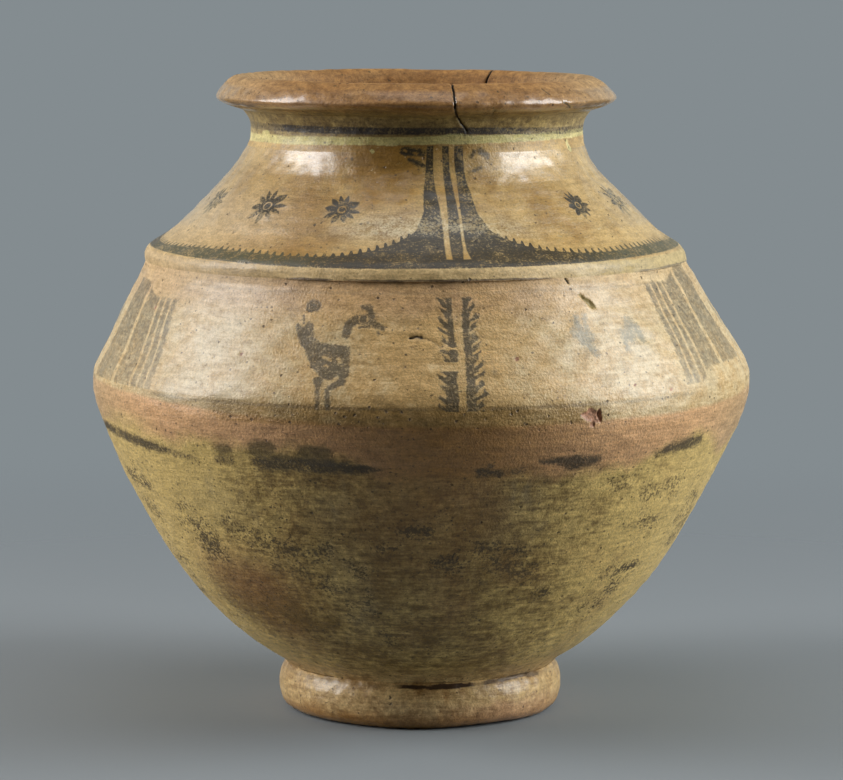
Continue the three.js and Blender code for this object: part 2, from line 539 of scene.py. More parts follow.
@dataclass
class Outline:
    """The stations of the jar's outline, from the frame and from a few sizes of its own."""

    body_wall: float = 7.0
    shoulder_wall: float = 7.5
    neck_wall: float = 8.0
    foot_widest_height: float = 13.0
    foot_rest_inset: float = 11.0
    foot_top_inset: float = 3.2
    crease_height: float = 5.0
    crease_spread: float = 5.7
    belt_lower_inset: float = 6.2
    belt_upper_inset: float = 0.5
    belt_widest_drop: float = 6.0
    turn_height: float = 9.7
    turn_inset: float = 4.4
    cone_end_drop: float = 5.3
    cone_end_spread: float = 2.3
    ridge_overhang: float = 0.8
    ridge_height: float = 8.8
    ridge_roll: float = 5.2
    saddle_drop: float = 28.0
    saddle_spread: float = 23.1
    neck_waist_rise: float = 6.0
    neck_base_flare: float = 1.2
    neck_top_flare: float = 3.5
    lip_overhang: float = 12.2
    lip_rise: float = 6.5
    crest_inset: float = 10.7
    mouth_bevel: float = 5.0
    throat_flare: float = 2.5

    def __post_init__(self) -> None:
        """Works out the stations and the joints."""
        foot_radius, belly, ridge = reach("foot_ring"), reach("belly_band"), reach("shoulder")
        ridge -= self.ridge_overhang
        foot_level, belt_level, upper_level = high("foot_ring"), low("belly_band"), low("upper_body")
        shoulder_level, neck_level, rim_level = low("shoulder"), low("neck"), low("rim")
        neck = reach("rim") - self.lip_overhang - self.neck_top_flare
        self.foot_rest = Station(foot_radius - self.foot_rest_inset, 0, 90)
        self.foot_widest = Station(foot_radius, self.foot_widest_height, 0)
        self.foot_top = Station(foot_radius - self.foot_top_inset, foot_level, -35)
        self.bowl_foot = Station(self.foot_top.radius, foot_level, 35)
        self.crease_end = Station(
            self.foot_top.radius + self.crease_spread, foot_level + self.crease_height, 60
        )
        self.belt_lower = Station(belly - self.belt_lower_inset, belt_level, 24)
        self.belt_widest = Station(belly, upper_level - self.belt_widest_drop, 0)
        self.belt_upper = Station(belly - self.belt_upper_inset, upper_level, -12)
        self.turn_end = Station(
            self.belt_upper.radius - self.turn_inset, upper_level + self.turn_height, -30
        )
        self.cone_end = Station(ridge + self.cone_end_spread, shoulder_level - self.cone_end_drop, -30)
        self.cone_top = Station(ridge, shoulder_level, -15)
        self.ridge_edge = Station(ridge + self.ridge_overhang, shoulder_level, -7)
        self.ridge_top = Station(ridge - self.ridge_roll, shoulder_level + self.ridge_height, -60)
        self.neck_base = Station(neck + self.neck_base_flare, neck_level, -23)
        self.saddle = Station(
            self.neck_base.radius + self.saddle_spread, neck_level - self.saddle_drop, -45
        )
        self.neck_waist = Station(neck, neck_level + self.neck_waist_rise, 0)
        self.neck_top = Station(neck + self.neck_top_flare, rim_level, 42)
        self.rim_under = Station(self.neck_top.radius, rim_level, 68)
        self.lip = Station(reach("rim"), rim_level + self.lip_rise, 0)
        self.crest = Station(reach("rim") - self.crest_inset, high("rim"), -90)
        self.belt_lap = Lap(self.belt_lower.radius, belt_level, self.body_wall, 24)
        self.upper_lap = Lap(self.belt_upper.radius, upper_level, self.body_wall, -12)
        self.shoulder_lap = Lap(ridge, shoulder_level, self.body_wall, -30)
        self.neck_lap = Lap(self.neck_base.radius, neck_level, self.neck_wall, -11.5)
        self.rim_lap = Lap(self.neck_top.radius, rim_level, self.neck_wall, 14)
        self.turn_inside = self.turn_end.inside(self.body_wall)
        self.saddle_inside = self.saddle.inside(self.shoulder_wall)
        self.waist_inside = self.neck_waist.inside(self.neck_wall)
        self.over_crest = Station(self.crest.radius, self.crest.height, 90)
        self.throat = self.rim_lap.inner_station(True)
        mouth = self.throat.radius + self.throat_flare
        self.mouth_edge = Station(mouth, self.crest.height - self.mouth_bevel, 20)


OUTLINE = Outline()


@dataclass
class FootRing(Member):
    """The turned foot, a solid ring with a round outside."""

    node: str = "foot_ring"
    slot: str = "foot_clay"
    pitch: float = 0.9
    bore: float = 50.0
    bore_pitch: float = 2.0
    round_handles: Point = (0.552, 0.552)

    def section(self) -> Section:
        """Walks round the foot from the bore's lower edge over the outside.

        Returns:
            The rows of the section.
        """
        rows = Section()
        rest, widest, top = OUTLINE.foot_rest, OUTLINE.foot_widest, OUTLINE.foot_top
        rows.corner(self.bore, 0)
        rows.corner(rest.radius, 0)
        rows.follow(Run(rest, widest, self.round_handles), Side.OUTSIDE, self.pitch, first=False)
        rows.follow(Run(widest, top), Side.OUTSIDE, self.pitch, first=False)
        rows.corner((self.bore + top.radius) / 2, top.height)
        rows.corner(self.bore, top.height)
        down = Run(Station(self.bore, top.height, 0), Station(self.bore, 0, 0))
        rows.follow(down, Side.INSIDE, self.bore_pitch, first=False)
        rows.places[-1] = rows.places[-1][:-1]
        rows.normals[-1] = rows.normals[-1][:-1]
        rows.sides.pop()
        return rows


@dataclass
class Bowl(Member):
    """The lower body: a bowl with its floor and the boss that drops into the foot ring."""

    node: str = "lower_body"
    slot: str = "bowl_slip"
    pitch: float = 1.8
    floor_radius: float = 46.0
    floor_thickness: float = 9.0
    boss_clearance: float = 0.3
    floor_rows: tuple[float, ...] = (12, 24, 36)

    def closed(self) -> bool:
        """False, because the bowl's section runs from the axis to the axis."""
        return False

    def section(self) -> Section:
        """Walks round the bowl from under its floor to over it.

        Returns:
            The rows of the section.
        """
        rows = Section()
        level = high("foot_ring")
        boss = level - low(self.node)
        boss_radius = FootRing.bore - self.boss_clearance
        for radius in (*self.floor_rows, boss_radius):
            rows.corner(radius, level - boss)
        rows.corner(boss_radius, level)
        crease = Run(OUTLINE.bowl_foot, OUTLINE.crease_end, pitch=0.8)
        rows.follow(crease, Side.OUTSIDE, self.pitch)
        slope = Run(OUTLINE.crease_end, OUTLINE.belt_lower, (0.33, 0.33))
        rows.follow(slope, Side.OUTSIDE, self.pitch, first=False)
        for corner in OUTLINE.belt_lap.tongue_corners():
            rows.corner(*corner)
        floor_edge = Station(self.floor_radius, level + self.floor_thickness, 80)
        down = Run(OUTLINE.belt_lap.inner_station(False), floor_edge)
        rows.follow(down, Side.INSIDE, self.inside_pitch)
        for radius in reversed(self.floor_rows):
            rows.corner(radius, floor_edge.height)
        return rows


@dataclass
class RingMember(Member):
    """A member between two lapped joints."""

    under: Lap = OUTLINE.belt_lap
    over: Union[Lap, None] = None
    outside: tuple[Run, ...] = ()
    inside: tuple[Run, ...] = ()

    def section(self) -> Section:
        """Walks round the ring from its recess up the outside and down the inside.

        Returns:
            The rows of the section.
        """
        rows = Section()
        for corner in self.under.recess_corners():
            rows.corner(*corner)
        for run in self.outside:
            rows.follow(run, Side.OUTSIDE, self.pitch, first=run is self.outside[0])
        for corner in self.over.tongue_corners() if self.over else ():
            rows.corner(*corner)
        for run in self.inside:
            rows.follow(run, Side.INSIDE, self.inside_pitch, first=run is self.inside[0])
        return rows


@dataclass
class Belt(RingMember):
    """The belt round the jar's greatest width, with the chip in its upper edge."""

    node: str = "belly_band"
    slot: str = "band_wash"
    pitch: float = 0.6
    under: Lap = OUTLINE.belt_lap
    over: Union[Lap, None] = OUTLINE.upper_lap
    dense: tuple[Triple, ...] = ((25.5, 32, 0.13),)
    chips: tuple[Pit, ...] = (
        Pit(28.7, 155.4, 9.5, 6.4, 0.9, tilt=-14),
        Pit(30.3, 155.2, 2.4, 6.6, 1.3, tilt=10),
        Pit(29, 151.6, 3, 3, 0.7),
    )
    outside: tuple[Run, ...] = (
        Run(OUTLINE.belt_lower, OUTLINE.belt_widest, (0.31, 0.27)),
        Run(OUTLINE.belt_widest, OUTLINE.belt_upper),
    )
    inside: tuple[Run, ...] = (
        Run(OUTLINE.upper_lap.inner_station(False), OUTLINE.belt_lap.inner_station(True)),
    )


@dataclass
class UpperBody(RingMember):
    """The cone-shaped wall of the frieze, with its gouge and its pits."""

    node: str = "upper_body"
    slot: str = "frieze_slip"
    pitch: float = 0.85
    under: Lap = OUTLINE.upper_lap
    over: Union[Lap, None] = OUTLINE.shoulder_lap
    dense: tuple[Triple, ...] = ((-2.5, 5, 0.2), (31, 37.5, 0.2))
    grooves: tuple[Groove, ...] = (
        Groove(((-1.5, 190), (-0.4, 190.5), (0.6, 190.3)), 0.55, 0.8, 1.15),
        Groove(((0.6, 190.3), (2, 189.3), (3.2, 187.7), (3.9, 186)), 0.6, 0.34, 1.15),
        Groove(((31.3, 213.2), (31.9, 210.9)), 0.5, 0.75, 1.15),
    )
    chips: tuple[Pit, ...] = (
        Pit(34.9, 202.7, 3, 10.4, 1, tilt=42, slope=1.15),
        Pit(17, 180.8, 2.6, 2.2, 0.8, slope=1.15),
        Pit(38.5, 167.5, 1.8, 1.8, 0.7, slope=1.15),
        Pit(46.5, 163.4, 2, 2, 0.7, slope=1.15),
        Pit(-33, 181, 1.8, 1.8, 0.6, slope=1.15),
        Pit(-61, 196, 2, 1.8, 0.6, slope=1.15),
    )
    outside: tuple[Run, ...] = (
        Run(OUTLINE.belt_upper, OUTLINE.turn_end),
        Run(OUTLINE.turn_end, OUTLINE.cone_end),
        Run(OUTLINE.cone_end, OUTLINE.cone_top),
    )
    inside: tuple[Run, ...] = (
        Run(OUTLINE.shoulder_lap.inner_station(False), OUTLINE.turn_inside),
        Run(OUTLINE.turn_inside, OUTLINE.upper_lap.inner_station(True)),
    )


@dataclass
class Shoulder(RingMember):
    """The shoulder with its rolled ridge, whose edge has come away from the wall below in places."""

    node: str = "shoulder"
    slot: str = "shoulder_slip"
    pitch: float = 0.9
    under: Lap = OUTLINE.shoulder_lap
    over: Union[Lap, None] = OUTLINE.neck_lap
    open_seams: tuple[Point, ...] = ((-24, 24), (56, 84), (-150, -112))
    seam_rise: float = 3.5
    seam_fade: float = 5.0
    outside: tuple[Run, ...] = (
        Run(OUTLINE.ridge_edge, OUTLINE.ridge_top, (0.48, 0.38), 0.6),
        Run(OUTLINE.ridge_top, OUTLINE.saddle, (0.4, 0.39)),
        Run(OUTLINE.saddle, OUTLINE.neck_base, (0.6, 0.37)),
    )
    inside: tuple[Run, ...] = (
        Run(OUTLINE.neck_lap.inner_station(False), OUTLINE.saddle_inside, (0.37, 0.5)),
        Run(OUTLINE.saddle_inside, OUTLINE.shoulder_lap.inner_station(True)),
    )

    def relief(self, turn: Grid, places: Grid, sides: Grid) -> Grid:
        """Adds to the plain relief the fill of slip that hides the ridge's edge where its seam is closed.

        Args:
            turn: Turns of the columns, in degrees.
            places: Radius and height of each row.
            sides: Side of each row, as its number.

        Returns:
            Displacements in millimetres.
        """
        plain = super().relief(turn, places, sides)
        shut = np.ones(len(turn))
        for start, end in self.open_seams:
            away = np.maximum(start - turn, turn - end)
            shut = np.minimum(shut, (away / self.seam_fade).clip(0, 1))
        height = places[:, 1] - low(self.node)
        near = (1 - height / self.seam_rise).clip(0, 1)
        fill = OUTLINE.ridge_overhang * near[:, None] * shut[None, :]
        return plain - fill * (sides[:, None] == Side.OUTSIDE.value)


@dataclass
class Neck(RingMember):
    """The short neck, with the end of the lip's crack in it."""

    node: str = "neck"
    slot: str = "neck_slip"
    pitch: float = 0.7
    inside_pitch: float = 1.6
    under: Lap = OUTLINE.neck_lap
    over: Union[Lap, None] = OUTLINE.rim_lap
    dense: tuple[Triple, ...] = ((9.5, 17.5, 0.12),)
    grooves: tuple[Groove, ...] = (
        Groove(((12.9, 284.5), (13.3, 283.5), (14.5, 280.8), (16, 278.6), (16.6, 277)), 0.42, 0.9),
    )
    outside: tuple[Run, ...] = (
        Run(OUTLINE.neck_base, OUTLINE.neck_waist),
        Run(OUTLINE.neck_waist, OUTLINE.neck_top),
    )
    inside: tuple[Run, ...] = (
        Run(OUTLINE.rim_lap.inner_station(False), OUTLINE.waist_inside),
        Run(OUTLINE.waist_inside, OUTLINE.neck_lap.inner_station(True)),
    )


@dataclass
class Rim(RingMember):
    """The flange with its round lip, cracked through on the front."""

    node: str = "rim"
    slot: str = "rim_wash"
    pitch: float = 0.6
    under: Lap = OUTLINE.rim_lap
    dense: tuple[Triple, ...] = ((9.5, 14, 0.1), (38, 52, 0.25), (151, 157, 0.2))
    grooves: tuple[Groove, ...] = (
        Groove(((11.2, 301), (10.9, 296), (10.6, 291), (10.7, 288.6)), 0.5, 1.1, ragged=0.15),
        Groove(((10.7, 288.6), (11.3, 286.5), (13, 283.5)), 0.42, 0.9, ragged=0.1),
        Groove(((44.8, 290.3), (47.6, 288.8), (50.6, 287.2)), 0.45, 0.55, ragged=0.2),
        Groove(((39.8, 296.8), (41.2, 294)), 0.4, 0.5),
        Groove(((22.6, 287.6), (23.4, 285.4)), 0.4, 0.5),
        Groove(((152.4, 301), (153.2, 296), (154.8, 288)), 0.5, 0.9, ragged=0.2),
    )
    outside: tuple[Run, ...] = (
        Run(OUTLINE.rim_under, OUTLINE.lip, (0.28, 0.2)),
        Run(OUTLINE.lip, OUTLINE.crest, (0.14, 0.25)),
        Run(OUTLINE.over_crest, OUTLINE.mouth_edge, (0.5, 0.4), 0.9),
        Run(OUTLINE.mouth_edge, OUTLINE.throat, pitch=0.9),
    )


def node_of(tree: Tree, kind: str, *values: "Operand", **settings: object) -> bpy.types.Node:
    """Adds a node and fills its inputs in order.

    Args:
        tree: The node tree.
        kind: The node's type, without the words that all shader nodes share.
        values: What goes into its inputs.
        settings: Its other settings by name.

    Returns:
        The node.
    """
    node = tree.nodes.new("ShaderNode" + kind)
    for name, setting in settings.items():
        setattr(node, name, setting)
    for slot, value in zip(node.inputs, values):
        plug(slot, value)
    return node


def maths(
    operation: str, kind: str = "Math", output: int = 0, swapped: bool = False
) -> Callable[..., "Field"]:
    """Makes a method that adds a maths node.

    Args:
        operation: What the node works out.
        kind: Math for numbers, VectorMath for vectors.
        output: Which of its outputs is wanted.
        swapped: True where the field itself goes in last.

    Returns:
        The method. It takes the further values.
    """

    def worked_out(field: "Field", *others: "Operand") -> "Field":
        """Adds the node."""
        values = (*others, field) if swapped else (field, *others)
        return Field(field.tree, node_of(field.tree, kind, *values, operation=operation).outputs[output])

    return worked_out


@dataclass(frozen=True)
class Field:
    """A value, vector or colour of a node tree, from which further ones are worked out.

    The signs, most and least work on numbers. So do beyond, which gives one where it is larger and nought
    elsewhere, folded, which gives what is left over from whole periods, and turned_from, which gives the
    angle whose sides these two are. The last six work on vectors.
    """

    tree: Tree
    socket: bpy.types.NodeSocket

    __add__ = maths("ADD")
    __radd__ = maths("ADD", swapped=True)
    __sub__ = maths("SUBTRACT")
    __rsub__ = maths("SUBTRACT", swapped=True)
    __mul__ = maths("MULTIPLY")
    __rmul__ = maths("MULTIPLY", swapped=True)
    __truediv__ = maths("DIVIDE")
    __pow__ = maths("POWER")
    __abs__ = maths("ABSOLUTE")
    most = maths("MAXIMUM")
    least = maths("MINIMUM")
    beyond = maths("GREATER_THAN")
    folded = maths("FLOORED_MODULO")
    wave = maths("SINE")
    grown = maths("EXPONENT")
    turned_from = maths("ARCTAN2")
    times_and_plus = maths("MULTIPLY_ADD")
    moved = maths("ADD", "VectorMath")
    less = maths("SUBTRACT", "VectorMath")
    stretched = maths("MULTIPLY", "VectorMath")
    length = maths("LENGTH", "VectorMath", output=1)
    distance = maths("DISTANCE", "VectorMath", output=1)
    along = maths("DOT_PRODUCT", "VectorMath", output=1)

    def ramp(self, start: float, end: float, least: float = 0.0, most: float = 1.0) -> "Field":
        """A smooth step.

        Args:
            start: Where it has the first value.
            end: Where it has the last value. It may be lower than the start.
            least: The first value.
            most: The last value.

        Returns:
            The step.
        """
        values = (self, start, end, least, most)
        node = node_of(self.tree, "MapRange", *values, interpolation_type="SMOOTHSTEP")
        return Field(self.tree, node.outputs[0])

    def between(self, start: float, end: float, soft: float) -> "Field":
        """One from start to end, with soft ends of that width."""
        return self.ramp(start - soft, start) * self.ramp(end + soft, end)

    def bump(self, middle: float, width: float) -> "Field":
        """One in the middle, fading smoothly to nought at that distance on both sides."""
        return abs(self - middle).ramp(width, 0)

    def part(self, axis: int) -> "Field":
        """One of a vector's three parts."""
        return Field(self.tree, node_of(self.tree, "SeparateXYZ", self).outputs[axis])

    def with_up(self, other: "Operand") -> "Field":
        """A vector from two numbers."""
        return Field(self.tree, node_of(self.tree, "CombineXYZ", self, other).outputs[0])

    def times(self, vector: Union[Triple, "Field"]) -> "Field":
        """Scales a vector by this number.

        Args:
            vector: The vector.

        Returns:
            The scaled vector.
        """
        node = node_of(self.tree, "VectorMath", vector, operation="SCALE")
        plug(node.inputs["Scale"], self)
        return Field(self.tree, node.outputs[0])

    def stroke(self, start: Point, end: Point, thick: float, thin: float) -> "Field":
        """Distance of a flat place from a straight brush stroke with round ends.

        Args:
            start: Where the stroke starts.
            end: Where it ends.
            thick: Its half width at the start.
            thin: Its half width at the end.

        Returns:
            The distance, negative in the stroke.
        """
        run = (end[0] - start[0], end[1] - start[1], 0)
        square = run[0] ** 2 + run[1] ** 2
        share = self.along((run[0] / square, run[1] / square, 0))
        share = share - (start[0] * run[0] + start[1] * run[1]) / square
        share.socket.node.use_clamp = True
        gap = self.less(share.times(run)).distance((*start, 0))
        return gap - share.ramp_straight(thick, thin)

    def ramp_straight(self, first: float, last: float) -> "Field":
        """A straight run from the first value at nought to the last at one."""
        return self.times_and_plus(last - first, first)

    def half_plane(self, edge: Point, out: Point) -> "Field":
        """Distance of a flat place from a straight edge, negative behind it.

        Args:
            edge: A point of the edge.
            out: The direction away from what lies behind it.

        Returns:
            The distance.
        """
        size = math.hypot(*out)
        way = (out[0] / size, out[1] / size, 0)
        return self.along(way) - (edge[0] * way[0] + edge[1] * way[1])

    def toward(self, colour: "Operand", share: "Operand") -> "Field":
        """The colour changed towards another by a share."""
        return blend(self.tree, share, self, colour)


Operand = Union[float, tuple, Field]


def plug(slot: bpy.types.NodeSocket, value: Operand) -> None:
    """Links a field to an input socket, or sets the socket to a plain value.

    Args:
        slot: The input socket.
        value: The field, number, vector or colour.
    """
    if isinstance(value, Field):
        value.tree.links.new(value.socket, slot)
    else:
        slot.default_value = value


def blend(
    tree: Tree, share: Operand, first: Operand, last: Operand, manner: str = "MIX"
) -> Field:
    """Mixes two colours.

    Args:
        tree: The node tree.
        share: Share of the last colour.
        first: The first colour.
        last: The last colour.
        manner: How they are mixed.

    Returns:
        The mixed colour.
    """
    node = node_of(tree, "Mix", share, data_type="RGBA", blend_type=manner)
    plug(next(s for s in node.inputs if s.identifier == "A_Color"), first)
    plug(next(s for s in node.inputs if s.identifier == "B_Color"), last)
    return Field(tree, next(s for s in node.outputs if s.identifier == "Result_Color"))


@dataclass(frozen=True)
class Bench:
    """A node tree in the making, with the textures that the clay's finishes are made from."""

    tree: Tree

    def attribute(self, name: str, vector: bool = False) -> Field:
        """What the mesh keeps under that name."""
        node = node_of(self.tree, "Attribute", attribute_name=name)
        return Field(self.tree, node.outputs["Vector" if vector else "Fac"])

    def given(self, *names: str) -> list[Field]:
        """The inputs of the node group in the making, by name."""
        entry = self.tree.nodes["Group Input"]
        return [Field(self.tree, entry.outputs[name]) for name in names]

    def cloud(
        self,
        place: Field,
        size: float,
        detail: float = 2.0,
        rough: float = 0.5,
        stretch: Triple = (1, 1, 1),
    ) -> Field:
        """Soft noise about nought, mostly within half of one on both sides.

        Args:
            place: Place in millimetres.
            size: Size of the largest lumps, in millimetres.
            detail: How many finer layers there are.
            rough: How strong the finer layers are.
            stretch: How much longer the lumps are along each axis.

        Returns:
            The noise.
        """
        factors = tuple(1 / (size * amount) for amount in stretch)
        node = node_of(self.tree, "TexNoise", place.stretched(factors), 0, 1, detail, rough)
        return Field(self.tree, node.outputs[0]) - 0.5

    def grain(self, place: Field, fine: float, coarse: float = 0) -> Field:
        """The uneven edge of brushwork, finer and coarser, each with its own strength."""
        edge = self.cloud(place, 0.9, 3, 0.65) * fine
        return edge + self.cloud(place, 2.6) * coarse if coarse else edge

    def dots(self, place: Field, size: float, stretch: Triple = (1, 1, 1)) -> tuple[Field, Field]:
        """Scattered dots.

        Args:
            place: Place in millimetres.
            size: Distance between neighbours, in millimetres.
            stretch: How much longer the dots are along each axis.

        Returns:
            The distance from the nearest dot's middle, as a share of the size, and a number of its own
            for each dot, from nought to one.
        """
        factors = tuple(1 / (size * amount) for amount in stretch)
        node = node_of(self.tree, "TexVoronoi", place.stretched(factors), 0, 1)
        lot = node_of(self.tree, "SeparateColor", Field(self.tree, node.outputs["Color"]))
        return Field(self.tree, node.outputs["Distance"]), Field(self.tree, lot.outputs[0])

    def use(self, recipe: "Recipe", **given: Operand) -> dict[str, Field]:
        """Places a node group.

        Args:
            recipe: The group's recipe.
            given: Values of its inputs by name.

        Returns:
            Its outputs by name.
        """
        node = node_of(self.tree, "Group", node_tree=recipe.made())
        for name, value in given.items():
            plug(node.inputs[name], value)
        return {output.name: Field(self.tree, output) for output in node.outputs}


class Kind(Enum):
    """What a socket of a node group carries."""

    NUMBER = "NodeSocketFloat"
    VECTOR = "NodeSocketVector"
    COLOUR = "NodeSocketColor"


Sockets = tuple[tuple[str, Kind], ...]
Results = dict[str, Field]


def sockets(numbers: str = "", vectors: str = "", colours: str = "") -> Sockets:
    """Names the sockets of a node group.

    Args:
        numbers: Names of those that carry numbers, with spaces between them.
        vectors: Names of those that carry vectors.
        colours: Names of those that carry colours.

    Returns:
        Each name with what it carries.
    """
    kinds = ((numbers, Kind.NUMBER), (vectors, Kind.VECTOR), (colours, Kind.COLOUR))
    return tuple((name, kind) for names, kind in kinds for name in names.split())


@dataclass(frozen=True)
class Recipe:
    """A shader node group with named inputs and outputs."""

    name: str = ""
    inputs: Sockets = sockets("Turn Height", "Place")
    outputs: Sockets = sockets("Mask")

    def work(self, bench: Bench) -> Results:
        """Works out the outputs by name."""
        raise NotImplementedError

    def made(self) -> Tree:
        """The group, made when it is first asked for.

        Returns:
            The node tree.
        """
        tree = bpy.data.node_groups.get(self.name)
        if tree:
            return tree
        tree = bpy.data.node_groups.new(self.name, "ShaderNodeTree")
        for way, named in (("INPUT", self.inputs), ("OUTPUT", self.outputs)):
            for name, kind in named:
                tree.interface.new_socket(name, in_out=way, socket_type=kind.value)
        tree.nodes.new("NodeGroupInput")
        leave = tree.nodes.new("NodeGroupOutput")
        for name, value in self.work(Bench(tree)).items():
            plug(leave.inputs[name], value)
        return tree


@dataclass(frozen=True)
class PlaceOnJar(Recipe):
    """Where on the jar a point lies, and what has happened to it there."""

    name: str = "place_on_jar"
    inputs: Sockets = ()
    outputs: Sockets = sockets("Turn Height Groove Chip Hidden", "Place")

    def work(self, bench: Bench) -> Results:
        """Reads what the mesh keeps and works out the turn from it.

        Args:
            bench: Where the group is made.

        Returns:
            The place, and the damage there.
        """
        place = bench.attribute("clay_place", vector=True)
        turn = place.part(0).turned_from(place.part(1) * -1)
        return {
            "Turn": turn * math.degrees(1),
            "Height": place.part(2),
            "Place": place,
            "Groove": bench.attribute("groove"),
            "Chip": bench.attribute("chip"),
            "Hidden": bench.attribute("hidden"),
        }


@dataclass(frozen=True)
class WornInk(Recipe):
    """Lays a painted mark over the slip, rubbed through in specks."""

    name: str = "worn_ink"
    inputs: Sockets = sockets("Mark Wear Faded", "Place", "Under Ink Pale")
    outputs: Sockets = sockets("Cover", colours="Colour")

    def work(self, bench: Bench) -> Results:
        """Thins the mark in clouds and in small specks, and lays it over the slip.

        Args:
            bench: Where the group is made.

        Returns:
            The colour, and how much of the slip the ink covers.
        """
        mark, wear, faded, place = bench.given("Mark", "Wear", "Faded", "Place")
        under, ink, pale = bench.given("Under", "Ink", "Pale")
        clouds = bench.cloud(place, 7, 4, 0.65)
        specks = bench.cloud(place, 1, 3, 0.62)
        scrapes = bench.cloud(place, 1.1, 2, 0.6, stretch=(5, 5, 1))
        rubbed = clouds + specks * 2.0 + scrapes * 0.6
        left = (rubbed + (0.48 - wear * 1.2)).ramp(-0.1, 0.36)
        thin = (clouds * 1.4 + specks * 1.2 + scrapes * 0.6 + 0.6).ramp(0, 0.9, 0.72, 1)
        cover = mark * left * thin * 0.97
        tone = (faded + clouds * 0.8 + specks * 0.6 - 0.08).ramp(0, 1)
        dusty = under.toward(pale, mark * 0.45)
        return {"Colour": dusty.toward(ink.toward(pale, tone), cover), "Cover": cover}


@dataclass(frozen=True)
class DarkFlecks(Recipe):
    """Small dark stains of many sizes, dense where they are asked for."""

    name: str = "dark_flecks"
    inputs: Sockets = sockets("Size Amount", "Place")

    def work(self, bench: Bench) -> Results:
        """Grows ragged stains where many are asked for, and scatters small dots everywhere.

        Args:
            bench: Where the group is made.

        Returns:
            Where the clay is stained.
        """
        size, amount, place = bench.given("Size", "Amount", "Place")
        unit = (size ** -1).times(place)
        coarse = bench.cloud(unit, 0.7, 4, 0.74, stretch=(2.4, 2.4, 1))
        fine = bench.cloud(unit, 0.24, 3, 0.7)
        stains = (coarse * 0.95 + fine * 1.8 - (0.41 - amount * 0.36)).ramp(0, 0.18)
        near, lot = bench.dots(unit.moved((7.3, 2.1, 5.7)), 0.42, (1, 1, 0.8))
        kept = (amount * 0.6 + 0.08 - lot).ramp(-0.02, 0.1)
        dots = (near + fine * 1.3).ramp(0.26, 0.1) * kept
        return {"Mask": stains.most(dots)}


@dataclass
class Ground:
    """The textures that all the slips share, and where they are worked out."""

    bench: Bench

    def __post_init__(self) -> None:
        """Works out the textures."""
        self.turn, self.height, self.place = self.bench.given("Turn", "Height", "Place")
        self.broad = self.cloud(46, 3, 0.6)
        self.clouds = self.cloud(15, 4, 0.6)
        self.fine = self.cloud(3.2, 4, 0.7)
        self.grit = self.cloud(0.9, 3, 0.65)
        self.streak = self.cloud(1.5, 3, 0.65, (8, 8, 1))
        self.soft = self.height + self.clouds * 6 + self.fine * 2.4
        self.sway = self.height + self.clouds * 1.6 + self.fine * 0.9

    def cloud(self, size: float, detail: float, rough: float, stretch: Triple = (1, 1, 1)) -> Field:
        """Soft noise at the place itself."""
        return self.bench.cloud(self.place, size, detail, rough, stretch)

    def mix(self, share: Operand, first: Operand, last: Operand) -> Field:
        """Mixes two colours."""
        return blend(self.bench.tree, share, first, last)

    def patch(self, turn: float, wide: float, height: float, tall: float) -> Field:
        """One in the middle of a patch, fading to nought at those distances from it."""
        return self.turn.bump(turn, wide) * self.height.bump(height, tall)


